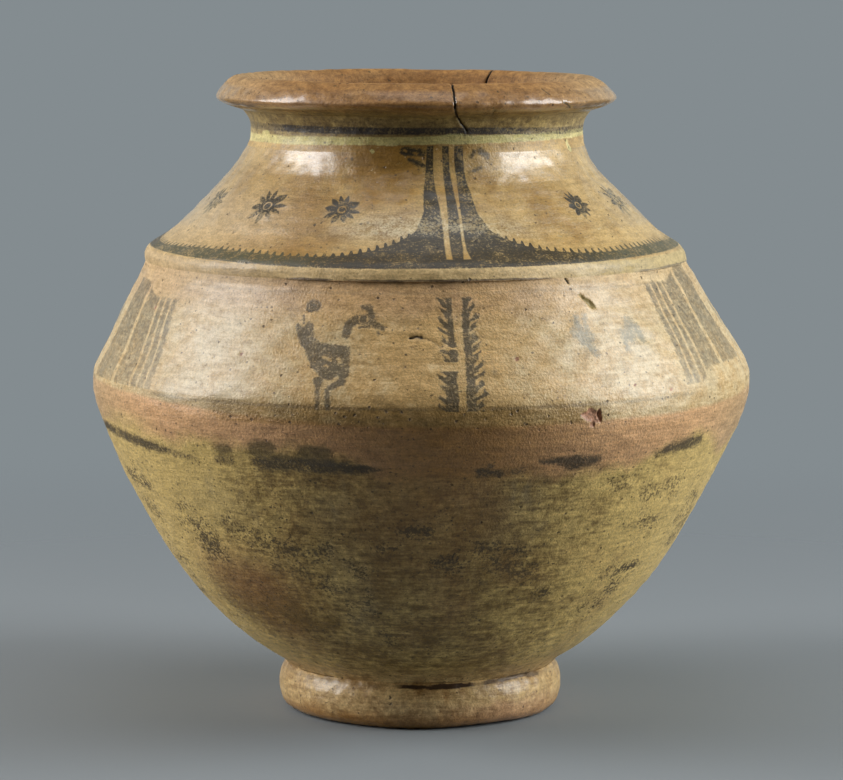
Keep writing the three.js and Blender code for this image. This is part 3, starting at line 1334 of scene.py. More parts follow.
@dataclass(frozen=True)
class SlipColours(Recipe):
    """The clay's own colours and the thin slips over them, from the foot to the lip, with some painted
    sheen and painted shade laid in by the turn round the jar and in the open seams.
    """

    name: str = "slip_colours"
    outputs: Sockets = sockets("Rough Gloss", colours="Colour")
    belt_patches: Strokes = (
        (-28.8, 140.4, -26.6, 140.4, 4.2, 4.2), (-19.4, 140, -16.2, 140, 3.6, 3.6),
        (-36, 138.6, -34.4, 138.6, 2.4, 2.4), (-26, 137, -15, 137, 1.6, 1.6),
    )
    smear_lanes: tuple[Quad, ...] = ((17, 12, 112, 30), (-41, 14, 114, 22), (-16, 7, 112, 16))
    foot_tan: Colour = pigment(206, 174, 118)
    foot_orange: Colour = pigment(150, 102, 42)
    # Painted shade for the open seams at the foot's crease and under the ridge.
    foot_pink: Colour = pigment(188, 144, 108)
    seam_shade: Colour = pigment(62, 42, 24)
    olive: Colour = pigment(216, 184, 110)
    olive_dark: Colour = pigment(124, 94, 36)
    blush: Colour = pigment(152, 106, 60)
    # Grey of real smears on the lower body; on the belt and the frieze it is also painted shade where the
    # side lamps fall.
    grey_smear_and_shade: Colour = pigment(158, 144, 112)
    patch: Colour = pigment(96, 78, 38)
    stain: Colour = pigment(64, 50, 24)
    wash: Colour = pigment(218, 166, 118)
    wash_brown: Colour = pigment(166, 118, 56)
    beige: Colour = pigment(208, 184, 138)
    beige_ochre: Colour = pigment(214, 174, 112)
    rose: Colour = pigment(196, 154, 106)
    strip: Colour = pigment(222, 188, 128)
    cream: Colour = pigment(214, 202, 130)
    pale_cream: Colour = pigment(212, 194, 152)
    ochre: Colour = pigment(158, 117, 48)
    shoulder: Colour = pigment(206, 170, 106)
    neck: Colour = pigment(178, 153, 92)
    neck_dark: Colour = pigment(122, 98, 54)
    rim_brown: Colour = pigment(136, 91, 40)
    rim_light: Colour = pigment(180, 136, 80)

    def work(self, bench: Bench) -> Results:
        """Lays the colours over each other from the foot up, pales their sides as a painted sheen, and
        lays a fine mottling over all of them.

        Args:
            bench: Where the group is made.

        Returns:
            The colour, what is added to the roughness, and the share of the gloss.
        """
        ground = Ground(bench)
        turn, height = ground.turn, ground.height
        colour = self._lower(ground)
        for layer in (self._belt, self._frieze, self._shoulder, self._rim):
            colour = layer(ground, colour)
        # Paler towards the sides, away from the front: a painted sheen that stands in for the pale
        # glancing reflections there.
        aside = abs(turn).ramp(32, 72) * abs(turn).ramp(150, 110) * height.ramp(160, 236, 0.08, 0.24)
        colour = colour.toward(self.pale_cream, aside)
        mottling = ground.fine * 1.05 + ground.grit * 1.05 + ground.streak * 0.85
        lighter = mottling.ramp(-0.55, 0.55, 0.58, 1.4)
        grey = node_of(bench.tree, "CombineColor", lighter, lighter, lighter)
        colour = blend(bench.tree, 1, colour, Field(bench.tree, grey.outputs[0]), "MULTIPLY")
        within = ground.place.stretched((1, 1, 0)).length().ramp(91, 88) * height.ramp(284, 286)
        rough = ground.clouds * 0.14 + ground.fine * 0.26 + ground.grit * 0.3
        rough = rough + height.between(211, 219, 1.5) * 0.16 + within * 0.3
        polished = ground.clouds * 0.9 + ground.fine * 1.5 + ground.streak * 0.9
        polished = polished + turn.bump(-34, 26) * height.ramp(216, 226) * 0.6
        polished = polished + height.ramp(284, 287) * 0.3 + 0.38
        gloss = polished.ramp(-0.1, 0.7, 0.15, 1) * (1 - height.between(212, 230, 3) * 0.8) * (1 - within)
        return {"Colour": colour, "Rough": rough, "Gloss": gloss}

    def _lower(self, ground: Ground) -> Field:
        """The foot and the lower body, the body darker at the front and lighter at the sides as painted
        shade and light.

        Args:
            ground: The textures and the place.

        Returns:
            The colour.
        """
        turn, height = ground.turn, ground.height
        body = ground.cloud(24, 5, 0.72, (1, 1, 1.4)).ramp(-0.5, 0.42)
        # The last term darkens the front and lightens the sides: painted shade and painted light, as the
        # side lamps fall.
        tone = body + ground.streak * 0.75 + ground.fine * 0.9 + abs(turn).ramp(10, 62, -0.27, 0.56)
        tone = tone + ground.patch(-56, 24, 120, 30) * 0.6
        tone = tone - ground.patch(-44, 26, 62, 30) * 0.95
        olive = ground.mix(tone.ramp(0, 1), self.olive_dark, self.olive)
        olive = olive.toward(self.wash_brown, ground.patch(1, 24, 122, 62) * 0.55)
        reddish = ground.patch(-42, 24, 76, 26).most(ground.broad.ramp(0, 0.3) * 0.6)
        olive = olive.toward(self.blush, reddish * 0.7)
        smears = ground.cloud(7, 3, 0.6, (1, 1, 7)).ramp(0, 0.32)
        lanes = ground.patch(-14, 8, 72, 40)
        for lane in self.smear_lanes:
            lanes = lanes.most(ground.patch(*lane))
        smeared = smears * 0.2 + lanes * (smears * 0.5 + 0.25)
        olive = olive.toward(self.grey_smear_and_shade, smeared * height.ramp(138, 128) * 0.55)
        return self._foot(ground).toward(olive, ground.soft.ramp(22, 34))

    def _foot(self, ground: Ground) -> Field:
        """The foot ring and the crease over it, with painted shade in the crease's open seam.

        Args:
            ground: The textures and the place.

        Returns:
            The colour.
        """
        turn, soft = ground.turn, ground.soft
        mottled = (ground.fine + ground.streak * 0.6 + ground.clouds).ramp(-0.7, 0.4)
        tan = ground.mix(mottled, self.foot_orange, self.foot_tan)
        tan = tan.toward(self.foot_orange, soft.ramp(11, 3) * 0.8)
        tan = tan.toward(self.foot_pink, turn.bump(42, 45) * soft.ramp(14, 9) * 0.6)
        flakes = ground.cloud(3, 3, 0.65, (2.5, 2.5, 1))
        # A dark line along the crease's open seam: painted shade in the gap, ragged with flakes.
        along = turn.between(-6, 20, 6).most(turn.between(29, 58, 5) * 0.8).most(0.25)
        level = ground.height - 20.4 - turn.bump(45, 25) * 1.4
        open_seam = (abs(level) - 0.5 - along * 0.5 + flakes * 3).ramp(0.35, -0.35)
        return tan.toward(self.seam_shade, open_seam * along)

    def _belt(self, ground: Ground, colour: Field) -> Field:
        """The red wash round the belt, with painted shade at its front and its far sides, and the brown
        stain under it.

        Args:
            ground: The textures and the place.
            colour: The colour under it.

        Returns:
            The colour with it.
        """
        turn, height = ground.turn, ground.height
        under = 141.5 - turn.between(-6, 38, 9) * 12 - turn.bump(72, 16) * 13 - turn.bump(47, 9) * 5
        wash = (ground.soft - under + ground.clouds * 8).ramp(-5, 5)
        # Browner towards the front: painted shade between the side lamps, over the wash's own brown
        # mottling.
        brown_mottle_and_front_shade = turn.bump(4, 36) * 0.9 + (ground.broad + ground.fine * 0.8) * 0.5
        red = ground.mix(brown_mottle_and_front_shade, self.wash, self.wash_brown)
        yellow = turn.bump(-62, 14) * height.ramp(152, 146)
        red = red.toward(self.olive, yellow * 0.6)
        # Greyer and darker towards the far sides: painted shade that tones down where the side lamps fall.
        red = red.toward(self.grey_smear_and_shade, abs(turn).ramp(50, 74) * abs(turn).ramp(130, 100) * 0.4)
        colour = colour.toward(red, wash * 0.88)
        lumps = ground.cloud(5, 4, 0.7) * 7.0
        patches = BELT.strokes(BELT.plane(turn, height), self.belt_patches)
        return colour.toward(self.patch, (patches + lumps).ramp(1.6, -1.6) * 0.8)

    def _frieze(self, ground: Ground, colour: Field) -> Field:
        """The pale slip of the frieze and the strip over it, with painted shade at the front, on the
        lamp-lit sides and in the open seam under the ridge.

        Args:
            ground: The textures and the place.
            colour: The colour under it.

        Returns:
            The colour with it.
        """
        turn, height = ground.turn, ground.height
        edge = 153.0 + abs(turn - 22).ramp(20, 100) * 7
        pale = (ground.sway - edge).ramp(-1.2, 1.4)
        tone = ground.clouds + ground.fine * 0.9 + ground.streak * 0.5
        # More ochre, so darker, towards the front: painted shade between the side lamps.
        tone = tone - turn.bump(3, 36) * 0.28
        beige = ground.mix(tone.ramp(-0.35, 0.25), self.beige_ochre, self.beige)
        rosy = ground.soft.ramp(192, 206) * (1 - turn.ramp(14, 42) * 0.65)
        beige = beige.toward(self.rose, rosy * (ground.clouds + 0.7).least(0.9))
        # Greyer where the side lamps fall, most on the left: painted shade that tones the lit sides down.
        beige = beige.toward(self.grey_smear_and_shade, turn.bump(-44, 26) * 0.34 + turn.bump(50, 24) * 0.1)
        colour = colour.toward(beige, pale)
        rubbed = ground.cloud(3, 4, 0.75, (1.6, 1.6, 1)).ramp(-0.06, 0.2)
        worn = height.between(153.5, 160.5, 2) * turn.between(-34, 27, 6)
        colour = colour.toward(self.ochre, worn * 0.55)
        colour = colour.toward(self.olive_dark, worn * rubbed * 0.6)
        creamy = (ground.fine + ground.grit * 0.6 + turn.ramp(10, 50) * 0.2).ramp(0, 0.4) * 0.75
        strip = ground.mix(creamy * 0.7, self.strip, self.pale_cream)
        strip = strip.toward(self.neck, abs(turn - 4).ramp(20, 48) * 0.9)
        edge = ground.height + ground.fine * 1.2 - 213.6
        colour = colour.toward(strip, edge.ramp(-0.4, 0.4) * turn.ramp(-42, -20, 0.3, 1))
        # A dark broken line along the open seam under the ridge's edge: painted shade in the gap.
        ragged = ground.cloud(4, 3, 0.65, (3, 3, 1))
        seam = (abs(height - 213.9) - 0.3 + ragged * 2.2).ramp(0.3, -0.3)
        seam = seam * turn.between(-27, 26, 5).most(turn.between(56, 84, 6))
        return colour.toward(self.seam_shade, seam * 0.8)

    def _shoulder(self, ground: Ground, colour: Field) -> Field:
        """The shoulder's burnished slip.

        Args:
            ground: The textures and the place.
            colour: The colour under it.

        Returns:
            The colour with it.
        """
        turn, height, fine = ground.turn, ground.height, ground.fine
        brown = ground.clouds * 1.1 + ground.broad * 1.1 + fine * 0.6 + turn.bump(-14, 44) * 0.26
        tone = ground.mix(brown.ramp(-0.18, 0.42), self.shoulder, self.ochre)
        pink = (height.bump(236, 20) * turn.ramp(-16, -44)).most(ground.broad.ramp(0.1, 0.35) * 0.4)
        tone = tone.toward(self.rose, pink * 0.7)
        tone = tone.toward(self.pale_cream, pink * 0.36)
        flecks = ground.cloud(1.9, 4, 0.75, (1.5, 1.5, 1)).ramp(0.11, 0.2)
        scuffs = height.bump(235, 10) * abs(turn - 5).ramp(34, 8)
        scuffed = scuffs * (fine + ground.grit + 0.2).ramp(0, 0.36)
        tone = tone.toward(self.pale_cream, (flecks * 0.7 + scuffed * 0.9).least(1))
        grime = ground.cloud(2.6, 5, 0.78, (2.2, 2.2, 1)).ramp(0.08, 0.24)
        smudge = ground.patch(21, 14, 262, 13)
        smudge = smudge.most(ground.patch(-30, 14, 248, 9) * 0.5)
        tone = tone.toward(self.stain, grime * (smudge * 0.5 + 0.2))
        return colour.toward(tone, (ground.sway - 219.5).ramp(-0.4, 0.4))

    def _rim(self, ground: Ground, colour: Field) -> Field:
        """The cream band, the neck and the lip.

        Args:
            ground: The textures and the place.
            colour: The colour under it.

        Returns:
            The colour with it.
        """
        turn, height, fine, clouds = ground.turn, ground.height, ground.fine, ground.clouds
        level = ground.sway + fine * 0.8 - (turn * math.radians(1)).wave() * 1.2
        neck = ground.mix((clouds + fine * 1.2).ramp(-0.35, 0.4), self.neck_dark, self.neck)
        lip = ground.mix((clouds + fine * 1.2).ramp(-0.6, 0.7), self.rim_brown, self.rim_light)
        top = neck.toward(lip, (height + clouds * 4).ramp(284, 289))
        lift = turn.bump(13, 7) * 1.6
        colour = colour.toward(top, (level - 274.4 - lift).ramp(-0.5, 0.5))
        band = (level - 270.7).ramp(-0.35, 0.35) * (level - 274.4 - lift).ramp(0.4, -0.4)
        plane = COLLAR.plane(turn, height)
        drip = plane.stroke((89.9, 0), (91.1, -3.7), 1.3, 1.6)
        chip = plane.stroke((-93.5, 4), (-89.2, 4), 2, 2.3)
        fleck = plane.stroke((-21.3, -2.3), (-20.6, -3), 0.6, 0.7)
        spots = (drip.least(chip).least(fleck) + fine * 2.2).ramp(0.4, -0.4)
        creamy = ground.mix((clouds + fine).ramp(-0.1, 0.5) * 0.6, self.cream, self.pale_cream)
        thin = (fine * 1.4 + clouds * 0.8 + 0.95).ramp(0.35, 0.9)
        return colour.toward(creamy, (band * thin).most(spots) * 0.92)


def nearest(distances: Iterable[Field]) -> Field:
    """The smallest of several distances, taken up one by one as they are worked out."""
    return reduce(Field.least, distances)


@dataclass(frozen=True)
class Canvas:
    """A stretch of the jar's outside laid out flat, to draw on in turns and heights."""

    across: float
    up: float
    middle: float

    def plane(self, turn: Field, height: Field) -> Field:
        """The flat place of a turn and a height, in millimetres."""
        return (turn * self.across).with_up((height - self.middle) * self.up)

    def spot(self, turn: float, height: float) -> Point:
        """The flat place of a point of the drawing."""
        return (turn * self.across, (height - self.middle) * self.up)

    def strokes(self, plane: Field, drawn: Strokes) -> Field:
        """Draws brush strokes.

        Args:
            plane: The flat place.
            drawn: For each stroke its first turn and height, its last ones and its half widths there.

        Returns:
            The distance from the nearest stroke, negative in it.
        """
        ends = ((self.spot(*row[:2]), self.spot(*row[2:4]), *row[4:]) for row in drawn)
        return nearest(plane.stroke(*stroke) for stroke in ends)


@dataclass(frozen=True)
class Brush:
    """Where a painting is worked out, how unsteady the hand was and how uneven the edges are."""

    turn: Field
    height: Field
    wobble: Field
    grain: Field


MARK = sockets("Mark Wear Faded")
SHOULDER = Canvas(1.71, 1.41, 240)
FRIEZE = Canvas(2.45, 1.155, 184)
BELT = Canvas(2.62, 1.09, 135)
BOWL = Canvas(2.2, 1.1, 90)
COLLAR = Canvas(1.45, 1.15, 270)


@dataclass(frozen=True)
class Rosette(Recipe):
    """A flower of brushed petals round a ring."""

    name: str = "rosette"
    inputs: Sockets = sockets("Across Up Radius Start")
    outputs: Sockets = sockets("Distance")
    petals: int = 10
    petal_half_width: float = 1.5
    ring: float = 0.205
    ring_half_width: float = 0.3

    def work(self, bench: Bench) -> Results:
        """Draws the petals and the disc in their middle.

        Args:
            bench: Where the group is made.

        Returns:
            The distance from the flower, negative in it.
        """
        across, up, size, start = bench.given("Across", "Up", "Radius", "Start")
        out = across.with_up(up).length()
        step = 2 * math.pi / self.petals
        angle = up.turned_from(across) + start
        sway = (angle * 2 + 1.3).wave() * 0.12 + (angle * 3).wave() * 0.08
        beside = abs((((angle + sway).folded(step) - step / 2).wave()) * out)
        reach_out = size * ((angle * 3 + 0.6).wave() * 0.06 + 1)
        share = (out - reach_out * 0.62) / (reach_out * 0.39)
        half = (1 - share * share) * self.petal_half_width
        disc = out - size * 0.46
        ring = abs(out - size * self.ring) - self.ring_half_width
        return {"Distance": (beside - half).least(disc).most(ring * -1.4)}


@dataclass(frozen=True)
class ShoulderPainting(Recipe):
    """Columns of upright strips, the saw-toothed swags between them, and the rosettes."""

    name: str = "shoulder_painting"
    outputs: Sockets = MARK
    period: float = 120.0
    axis: float = 9.5
    swag_foot: float = 218.9
    swag_low: float = 222.3
    swag_climb: float = 15.0
    tooth_pitch: float = 1.98
    tooth_height: float = 1.7
    flowers: tuple[Triple, ...] = (
        (-51.4, 10.2, 0.1), (-28.5, 8.6, 0.34), (42.4, 8.4, 0.2),
    )
    flower_height: float = 242.7

    def work(self, bench: Bench) -> Results:
        """Paints the columns, the swags and the flowers.

        Args:
            bench: Where the group is made.

        Returns:
            How dark the painting is, how worn and how faded.
        """
        turn, height, place = bench.given("Turn", "Height", "Place")
        wobble = bench.cloud(place, 7) * 1.1
        spread = turn.ramp(30, 72) * 6.5 - turn.ramp(80, 110) * 6.5
        start = self.axis - self.period / 2
        cell = (turn - start).folded(self.period) - self.period / 2
        shifted = (turn + spread - start).folded(self.period) - self.period / 2
        brush = Brush(cell, height, wobble, bench.grain(place, 1.5, 0.8))
        mark = self._column(brush).most(self._swag(brush, turn)) * (1 - self._reserved(brush))
        mark = mark.most(self._flowers(bench, replace(brush, turn=shifted)))
        side = abs(turn - self.axis)
        far = side.ramp(44, 66) * 0.26 * height.ramp(226, 232)
        scuffed = height.bump(236.5, 6.5) * 0.28
        top_wear = height.ramp(240, 262) * abs(cell).ramp(9, 7.6) * 0.16
        along = height.ramp(229, 223) * abs(cell).ramp(16, 44)
        return {"Mark": mark, "Wear": far + scuffed + top_wear + along * 0.1 + 0.06, "Faded": along * 0.75}

    def _column(self, brush: Brush) -> Field:
        """Paints the block of a column, and the curls beside its top.

        Args:
            brush: Where it is painted, and how unsteadily.

        Returns:
            How dark they are.
        """
        across = (brush.turn + brush.wobble * 0.2) * SHOULDER.across
        height, grain = brush.height, brush.grain
        widening = height.ramp(262, 244) * 0.85 + height.ramp(243, 234) * 1.9
        block = abs(across) - (widening + 6.05) * SHOULDER.across
        block = block.most((220.0 - height) * SHOULDER.up).most(height - 270.2)
        plane = across.with_up((height - SHOULDER.middle) * SHOULDER.up)
        lump = plane.stroke((-22.6, 39.4), (-13.4, 38.4), 2.6, 2.4)
        spots = plane.stroke((-22.8, 40), (-21.9, 39.6), 0.8, 0.6).least(
            plane.stroke((-17, 38.2), (-15.8, 37.6), 0.8, 0.8)
        )
        hook = plane.stroke((-19.4, 34.2), (-12.2, 30.6), 1.1, 1.5)
        lump = lump.most(spots * -1).least(hook)
        cloudy = plane.stroke((20.8, 39), (24.4, 36.2), 2.2, 1.9)
        cloudy = cloudy.least(plane.stroke((13.2, 26), (19.7, 28.8), 0.9, 1.2))
        cloudy = cloudy.least(plane.stroke((15, 35.6), (17, 38.8), 0.9, 1))
        faint = (lump + grain * 1.5).ramp(0.8, -0.8)
        faint = faint.most((cloudy + grain * 1.8).ramp(1, -0.9) * 0.7)
        return (block + grain * 0.55).ramp(0.35, -0.35).most(faint)

    def _reserved(self, brush: Brush) -> Field:
        """Leaves two pale lines between the strips, down into the swag.

        Args:
            brush: Where it is painted, and how unsteadily.

        Returns:
            Where no paint lies.
        """
        across, height, grain = brush.turn * SHOULDER.across, brush.height, brush.grain
        first = across + 3.5 - height.ramp(222, 244) * 0.6 + height.ramp(242, 270) * 1.2
        first = abs(first) - 1.1 - height.ramp(232, 258) * 1.45
        second = across - 2.9 - height.ramp(222, 252) * 1.45 + height.ramp(252, 270) * 0.7
        second = abs(second) - 0.6 - height.ramp(240, 260) * 0.9 - height.bump(222, 5) * 0.8
        lines = first.least(second).most((222.4 - height) * SHOULDER.up)
        return (lines + grain * 0.35).ramp(0.35, -0.35)

    def _swag(self, brush: Brush, turn: Field) -> Field:
        """Paints the swag that hangs from the columns, with its upper edge cut into teeth.

        Args:
            brush: Where it is painted, and how unsteadily.
            turn: The turn round the whole jar.

        Returns:
            How dark it is.
        """
        side, height, wobble = abs(brush.turn), brush.height, brush.wobble
        foot = self.swag_foot + abs(turn).ramp(15, 75) * 1.7
        fall = ((side.most(7) - 7) / -8.5).grown()
        top = self.swag_low + fall * self.swag_climb + side.ramp(30, 60) * 1.9
        lean = (height - 222) * 0.18
        saw = ((side - lean + wobble * 0.4) / self.tooth_pitch).folded(1)
        worn_down = turn.ramp(-6, -20, 1, 0.7) * side.ramp(8, 13)
        tooth = abs(saw - 0.42).ramp(0.31, 0.05) * (wobble * 1.5 + self.tooth_height) * worn_down
        above = (height - top - tooth) * SHOULDER.up
        below = (foot - height) * SHOULDER.up
        return (above.most(below) + brush.grain * 0.5).ramp(0.35, -0.35)

    def _flowers(self, bench: Bench, brush: Brush) -> Field:
        """Paints the rosettes of one cell.

        Args:
            bench: Where the group is made.
            brush: Where they are painted, and how unsteadily.

        Returns:
            How dark they are.
        """
        drawn = []
        for turn, size, start in self.flowers:
            across = (brush.turn - turn) * SHOULDER.across + brush.wobble * 0.7
            up = (brush.height - self.flower_height) * SHOULDER.up + brush.wobble * 0.5
            drawn.append(bench.use(Rosette(), Across=across, Up=up, Radius=size, Start=start)["Distance"])
        return (nearest(drawn) + brush.grain * 0.6).ramp(0.4, -0.5)


@dataclass(frozen=True)
class LongLeggedBird(Recipe):
    """A painted long-legged bird, drawn in turns and heights of the frieze."""

    name: str = "long_legged_bird"
    inputs: Sockets = sockets("Turn Height")
    outputs: Sockets = sockets("Distance")
    strokes: Strokes = (
        (-22.4, 194, -21.4, 190, 1.1, 2), (-20.2, 194.2, -20.3, 188, 1.9, 3.4),
        (-21.3, 192.4, -20.9, 189, 1.7, 2.4), (-21.6, 198.6, -21.3, 195.2, 0.35, 0.6),
        (-20.2, 188, -17.6, 182, 2.8, 5.6), (-13.1, 190.9, -12.6, 195, 1.9, 2.1),
        (-12.6, 195, -11.4, 197, 2.1, 2.1), (-11.4, 197.2, -9.2, 197.4, 2, 2.6),
        (-10.2, 202.5, -8.9, 202.2, 1, 1.4), (-8.9, 202.2, -8.4, 198.4, 1.3, 1.5),
        (-8.8, 196.6, -6.4, 193.8, 2, 1.25), (-10.6, 194, -8.8, 194.5, 0.7, 0.8),
        (-7.2, 191.9, -7, 191.7, 0.6, 0.6), (-17.4, 171.6, -17.2, 168.5, 2.1, 1.1),
        (-17.3, 168.5, -16.8, 160, 0.95, 1), (-13.6, 171.5, -15.3, 168.6, 2.4, 1.4),
        (-15.6, 168.6, -15.2, 160, 1.15, 1.1),
    )
    trunk: tuple[Quad, ...] = (
        (-12.2, 180, 1, 0), (-14, 186.6, 0.1, 1), (-20.1, 182, -0.92, -0.39),
        (-18.2, 175.2, -0.7, -0.71), (-15, 172.2, 0, -1), (-12.6, 173, 0.8, -0.6),
    )
    gaps: Strokes = (
        (-14.2, 173, -16, 169.5, 0.75, 0.8), (-16, 169.5, -16.6, 167.8, 0.8, 0.7),
        (-16.9, 181.4, -15.7, 180.4, 0.85, 0.9), (-14.1, 180.6, -14, 179.6, 0.9, 0.9),
        (-16.5, 177.9, -16, 177.7, 0.7, 0.6), (-14.6, 189.4, -14.4, 188.6, 0.8, 0.6),
    )
    tail_ring: Strokes = ((-20.25, 202.5, -19.7, 202.5, 3.1, 3),)
    eye: Strokes = ((-10, 197.4, -9.98, 197.8, 2, 2),)

    def work(self, bench: Bench) -> Results:
        """Draws the bird from strokes round a trunk with straight edges.

        Args:
            bench: Where the group is made.

        Returns:
            The distance from its outline, negative in it.
        """
        plane = FRIEZE.plane(*bench.given("Turn", "Height"))
        parts, gaps, tail, eye = (
            FRIEZE.strokes(plane, drawn) for drawn in (self.strokes, self.gaps, self.tail_ring, self.eye)
        )
        edges = (plane.half_plane(FRIEZE.spot(*row[:2]), row[2:]) for row in self.trunk)
        tail = tail.most(-0.2 - abs(tail + 1.5))
        whole = parts.least(reduce(Field.most, edges)).least(tail)
        return {"Distance": whole.most(gaps * -1).most(0.2 - abs(eye))}


@dataclass(frozen=True)
class FriezePainting(Recipe):
    """The frieze: birds, a pair of feathered stems, striped panels and thin border lines."""

    name: str = "frieze_painting"
    outputs: Sockets = MARK
    front: Point = (-77.5, 76)
    copy_middle: float = 57.6
    copy_stretch: float = 1.154
    copy_shift: float = -0.85
    faded_bird: Strokes = (
        (31, 196.6, 30.4, 190, 1.2, 2.6), (32.9, 197.2, 32.3, 191, 0.9, 1.5),
        (29.8, 190.4, 32, 188.4, 2.8, 3.2), (31.2, 186.6, 32.4, 181, 2.6, 1.6),
        (42.8, 193, 41.6, 187, 2.8, 3.2), (43.9, 190, 44.2, 185.6, 2.4, 1.8),
        (40.2, 189, 39.6, 182, 1.6, 1.2),
    )
    panel_edge: float = 51.75
    panel_foot: float = 161.0
    panel_lines: tuple[Point, ...] = ((4.7, 0.8), (10.4, 0.95), (16.3, 1.05), (34.3, 1.7))
    barb_pitch: float = 4.8

    def work(self, bench: Bench) -> Results:
        """Paints the bird, what is left of a second one, the stems, the panels and the lines.

        Args:
            bench: Where the group is made.

        Returns:
            How dark the painting is, how worn and how faded.
        """
        place, brush, swayed = self._brushes(bench)
        height, wobble, grain = brush.height, brush.wobble, brush.grain
        bird = bench.use(LongLeggedBird(), Turn=swayed.turn, Height=height + wobble * 0.3)["Distance"]
        bird = (bird + grain * 1.1).ramp(0.6, -0.6) * height.ramp(160, 172, 0.72, 0.92)
        pale = FRIEZE.strokes(FRIEZE.plane(swayed.turn, height), self.faded_bird)
        pale = (pale + grain * 2.2 + wobble * 2).ramp(1.3, -1.2)
        nibbled = bench.cloud(place, 2.4, 4, 0.7) * 3.6
        stems = (self._stems(swayed) + grain * 0.5 + nibbled).ramp(0.5, -0.5)
        panel = (self._panel(brush) + grain * 0.9).ramp(0.7, -0.7)
        panel = panel * (nibbled * 0.9 + wobble * 0.5 + 0.5).ramp(-0.2, 1.1, 0.36, 0.95)
        panel = panel * height.ramp(164, 192, 0.7, 1)
        lines = self._lines(brush)
        mark = bird.most(stems).most(panel).most(lines * 0.34).most(pale * 0.75)
        dots = height.bump(175.5, 1.9) * brush.turn.bump(12.4, 0.8) * 0.5
        wear = pale * 0.12 + panel * 0.04 + lines * 0.2 + 0.08
        return {"Mark": mark.most(dots), "Wear": wear, "Faded": pale + panel * 0.3}

    def _brushes(self, bench: Bench) -> tuple[Field, Brush, Brush]:
        """Sets the place, and the brush with a steady and with a swaying hand.

        Args:
            bench: Where the group is made.

        Returns:
            The place and both brushes.
        """
        turn, height, place = bench.given("Turn", "Height", "Place")
        wobble = bench.cloud(place, 6)
        steady = Brush(self._folded(turn), height, wobble, bench.grain(place, 1.6, 0.9))
        return place, steady, replace(steady, turn=steady.turn + wobble * 0.22)

    def _folded(self, turn: Field) -> Field:
        """Takes the back for two mirrored copies of the front.

        Args:
            turn: The turn round the jar.

        Returns:
            The turn of the same painting on the front.
        """
        start, end = self.front
        whole = (turn - start).folded(360)
        half = (360 - (end - start)) / 2
        back = abs(whole - (end - start + half))
        copied = (back - self.copy_middle) * self.copy_stretch + self.copy_shift
        behind = whole.beyond(end - start)
        return turn * (1 - behind) + copied * behind

    def _stems(self, brush: Brush) -> Field:
        """Draws two upright stems close together, each with barbs on its outer side.

        Args:
            brush: Where it is painted, and how unsteadily.

        Returns:
            The distance from them, negative in them.
        """
        turn, height, wobble = brush.turn, brush.height, brush.wobble
        to_left = height.ramp(172, 184, 6.05, 6.6) - turn
        to_right = turn - (height.most(168) - 168) * 0.038 - 7.3
        left = to_left.beyond(to_right)
        out = to_left.most(to_right) * FRIEZE.across + wobble * 0.5
        rise = (height - FRIEZE.middle) * FRIEZE.up + wobble * 1.5
        uneven = (height * 0.61 + left * 2).wave() * 0.7 + (height * 1.37).wave() * 0.5
        phase = ((rise - out * 0.95 + left * 1.6 + uneven) / self.barb_pitch).folded(1)
        shorter = left * height.ramp(184, 170, -0.6, 0)
        tip = height.ramp(160, 206, 7.6, 6.4) + wobble * 1.4 + uneven + shorter
        barb = ((abs(phase - 0.5) - 0.29) * self.barb_pitch).most(out - tip)
        stem = height.ramp(160, 206, 3.9, 2.9) + left * height.ramp(182, 172, -0.3, 1.2)
        whole = (out - stem).least(barb).most(out * -1)
        broken = height.between(176.4, 179.6, 0.5) + height.bump(185.6, 0.8) * 0.6
        whole = whole + broken * left * 3.4
        return whole.most((height - 206.5) * FRIEZE.up).most((159.4 - height) * FRIEZE.up)

    def _panel(self, brush: Brush) -> Field:
        """Draws a dark panel with thin reserved lines down its inner side.

        Args:
            brush: Where it is painted, and how unsteadily.

        Returns:
            The distance from it, negative in it.
        """
        turn, height, wobble = brush.turn, brush.height, brush.wobble
        leaning = (height.most(172) - 172) * 0.05
        into = (abs(turn + 0.55) - leaning - self.panel_edge) * FRIEZE.across + wobble * 0.4
        right = turn.beyond(0)
        top = 200.8 + right * 7.6 + into.ramp(20, 44) * 6
        scallops = (((height + wobble * 2) / 4.6).folded(1) - 0.5).ramp(-0.5, 0.5, 0.5, -0.4)
        block = (into * -1 + scallops).most((height - top) * FRIEZE.up)
        foot = self.panel_foot + right * (into.ramp(10, 22) * 6 + 3.6)
        block = block.most((foot - height) * FRIEZE.up)
        lines = nearest(abs(into - middle) - half for middle, half in self.panel_lines)
        return block.most(lines * -1)

    def _lines(self, brush: Brush) -> Field:
        """Paints the thin lines along the foot and the top of the frieze.

        Args:
            brush: Where it is painted, and how unsteadily.

        Returns:
            How dark they are.
        """
        height, wobble, grain = brush.height, brush.wobble, brush.grain
        foot = abs(height + wobble * 0.5 - 160.4) - 0.6
        top = abs(height + wobble * 0.7 - 208.3) - 0.5
        shown = abs(brush.turn).ramp(54, 50)
        edge = (foot.least(top) + grain * 1.2).ramp(0.6, -0.6)
        return edge * shown * (grain + 0.45).ramp(0, 0.6)


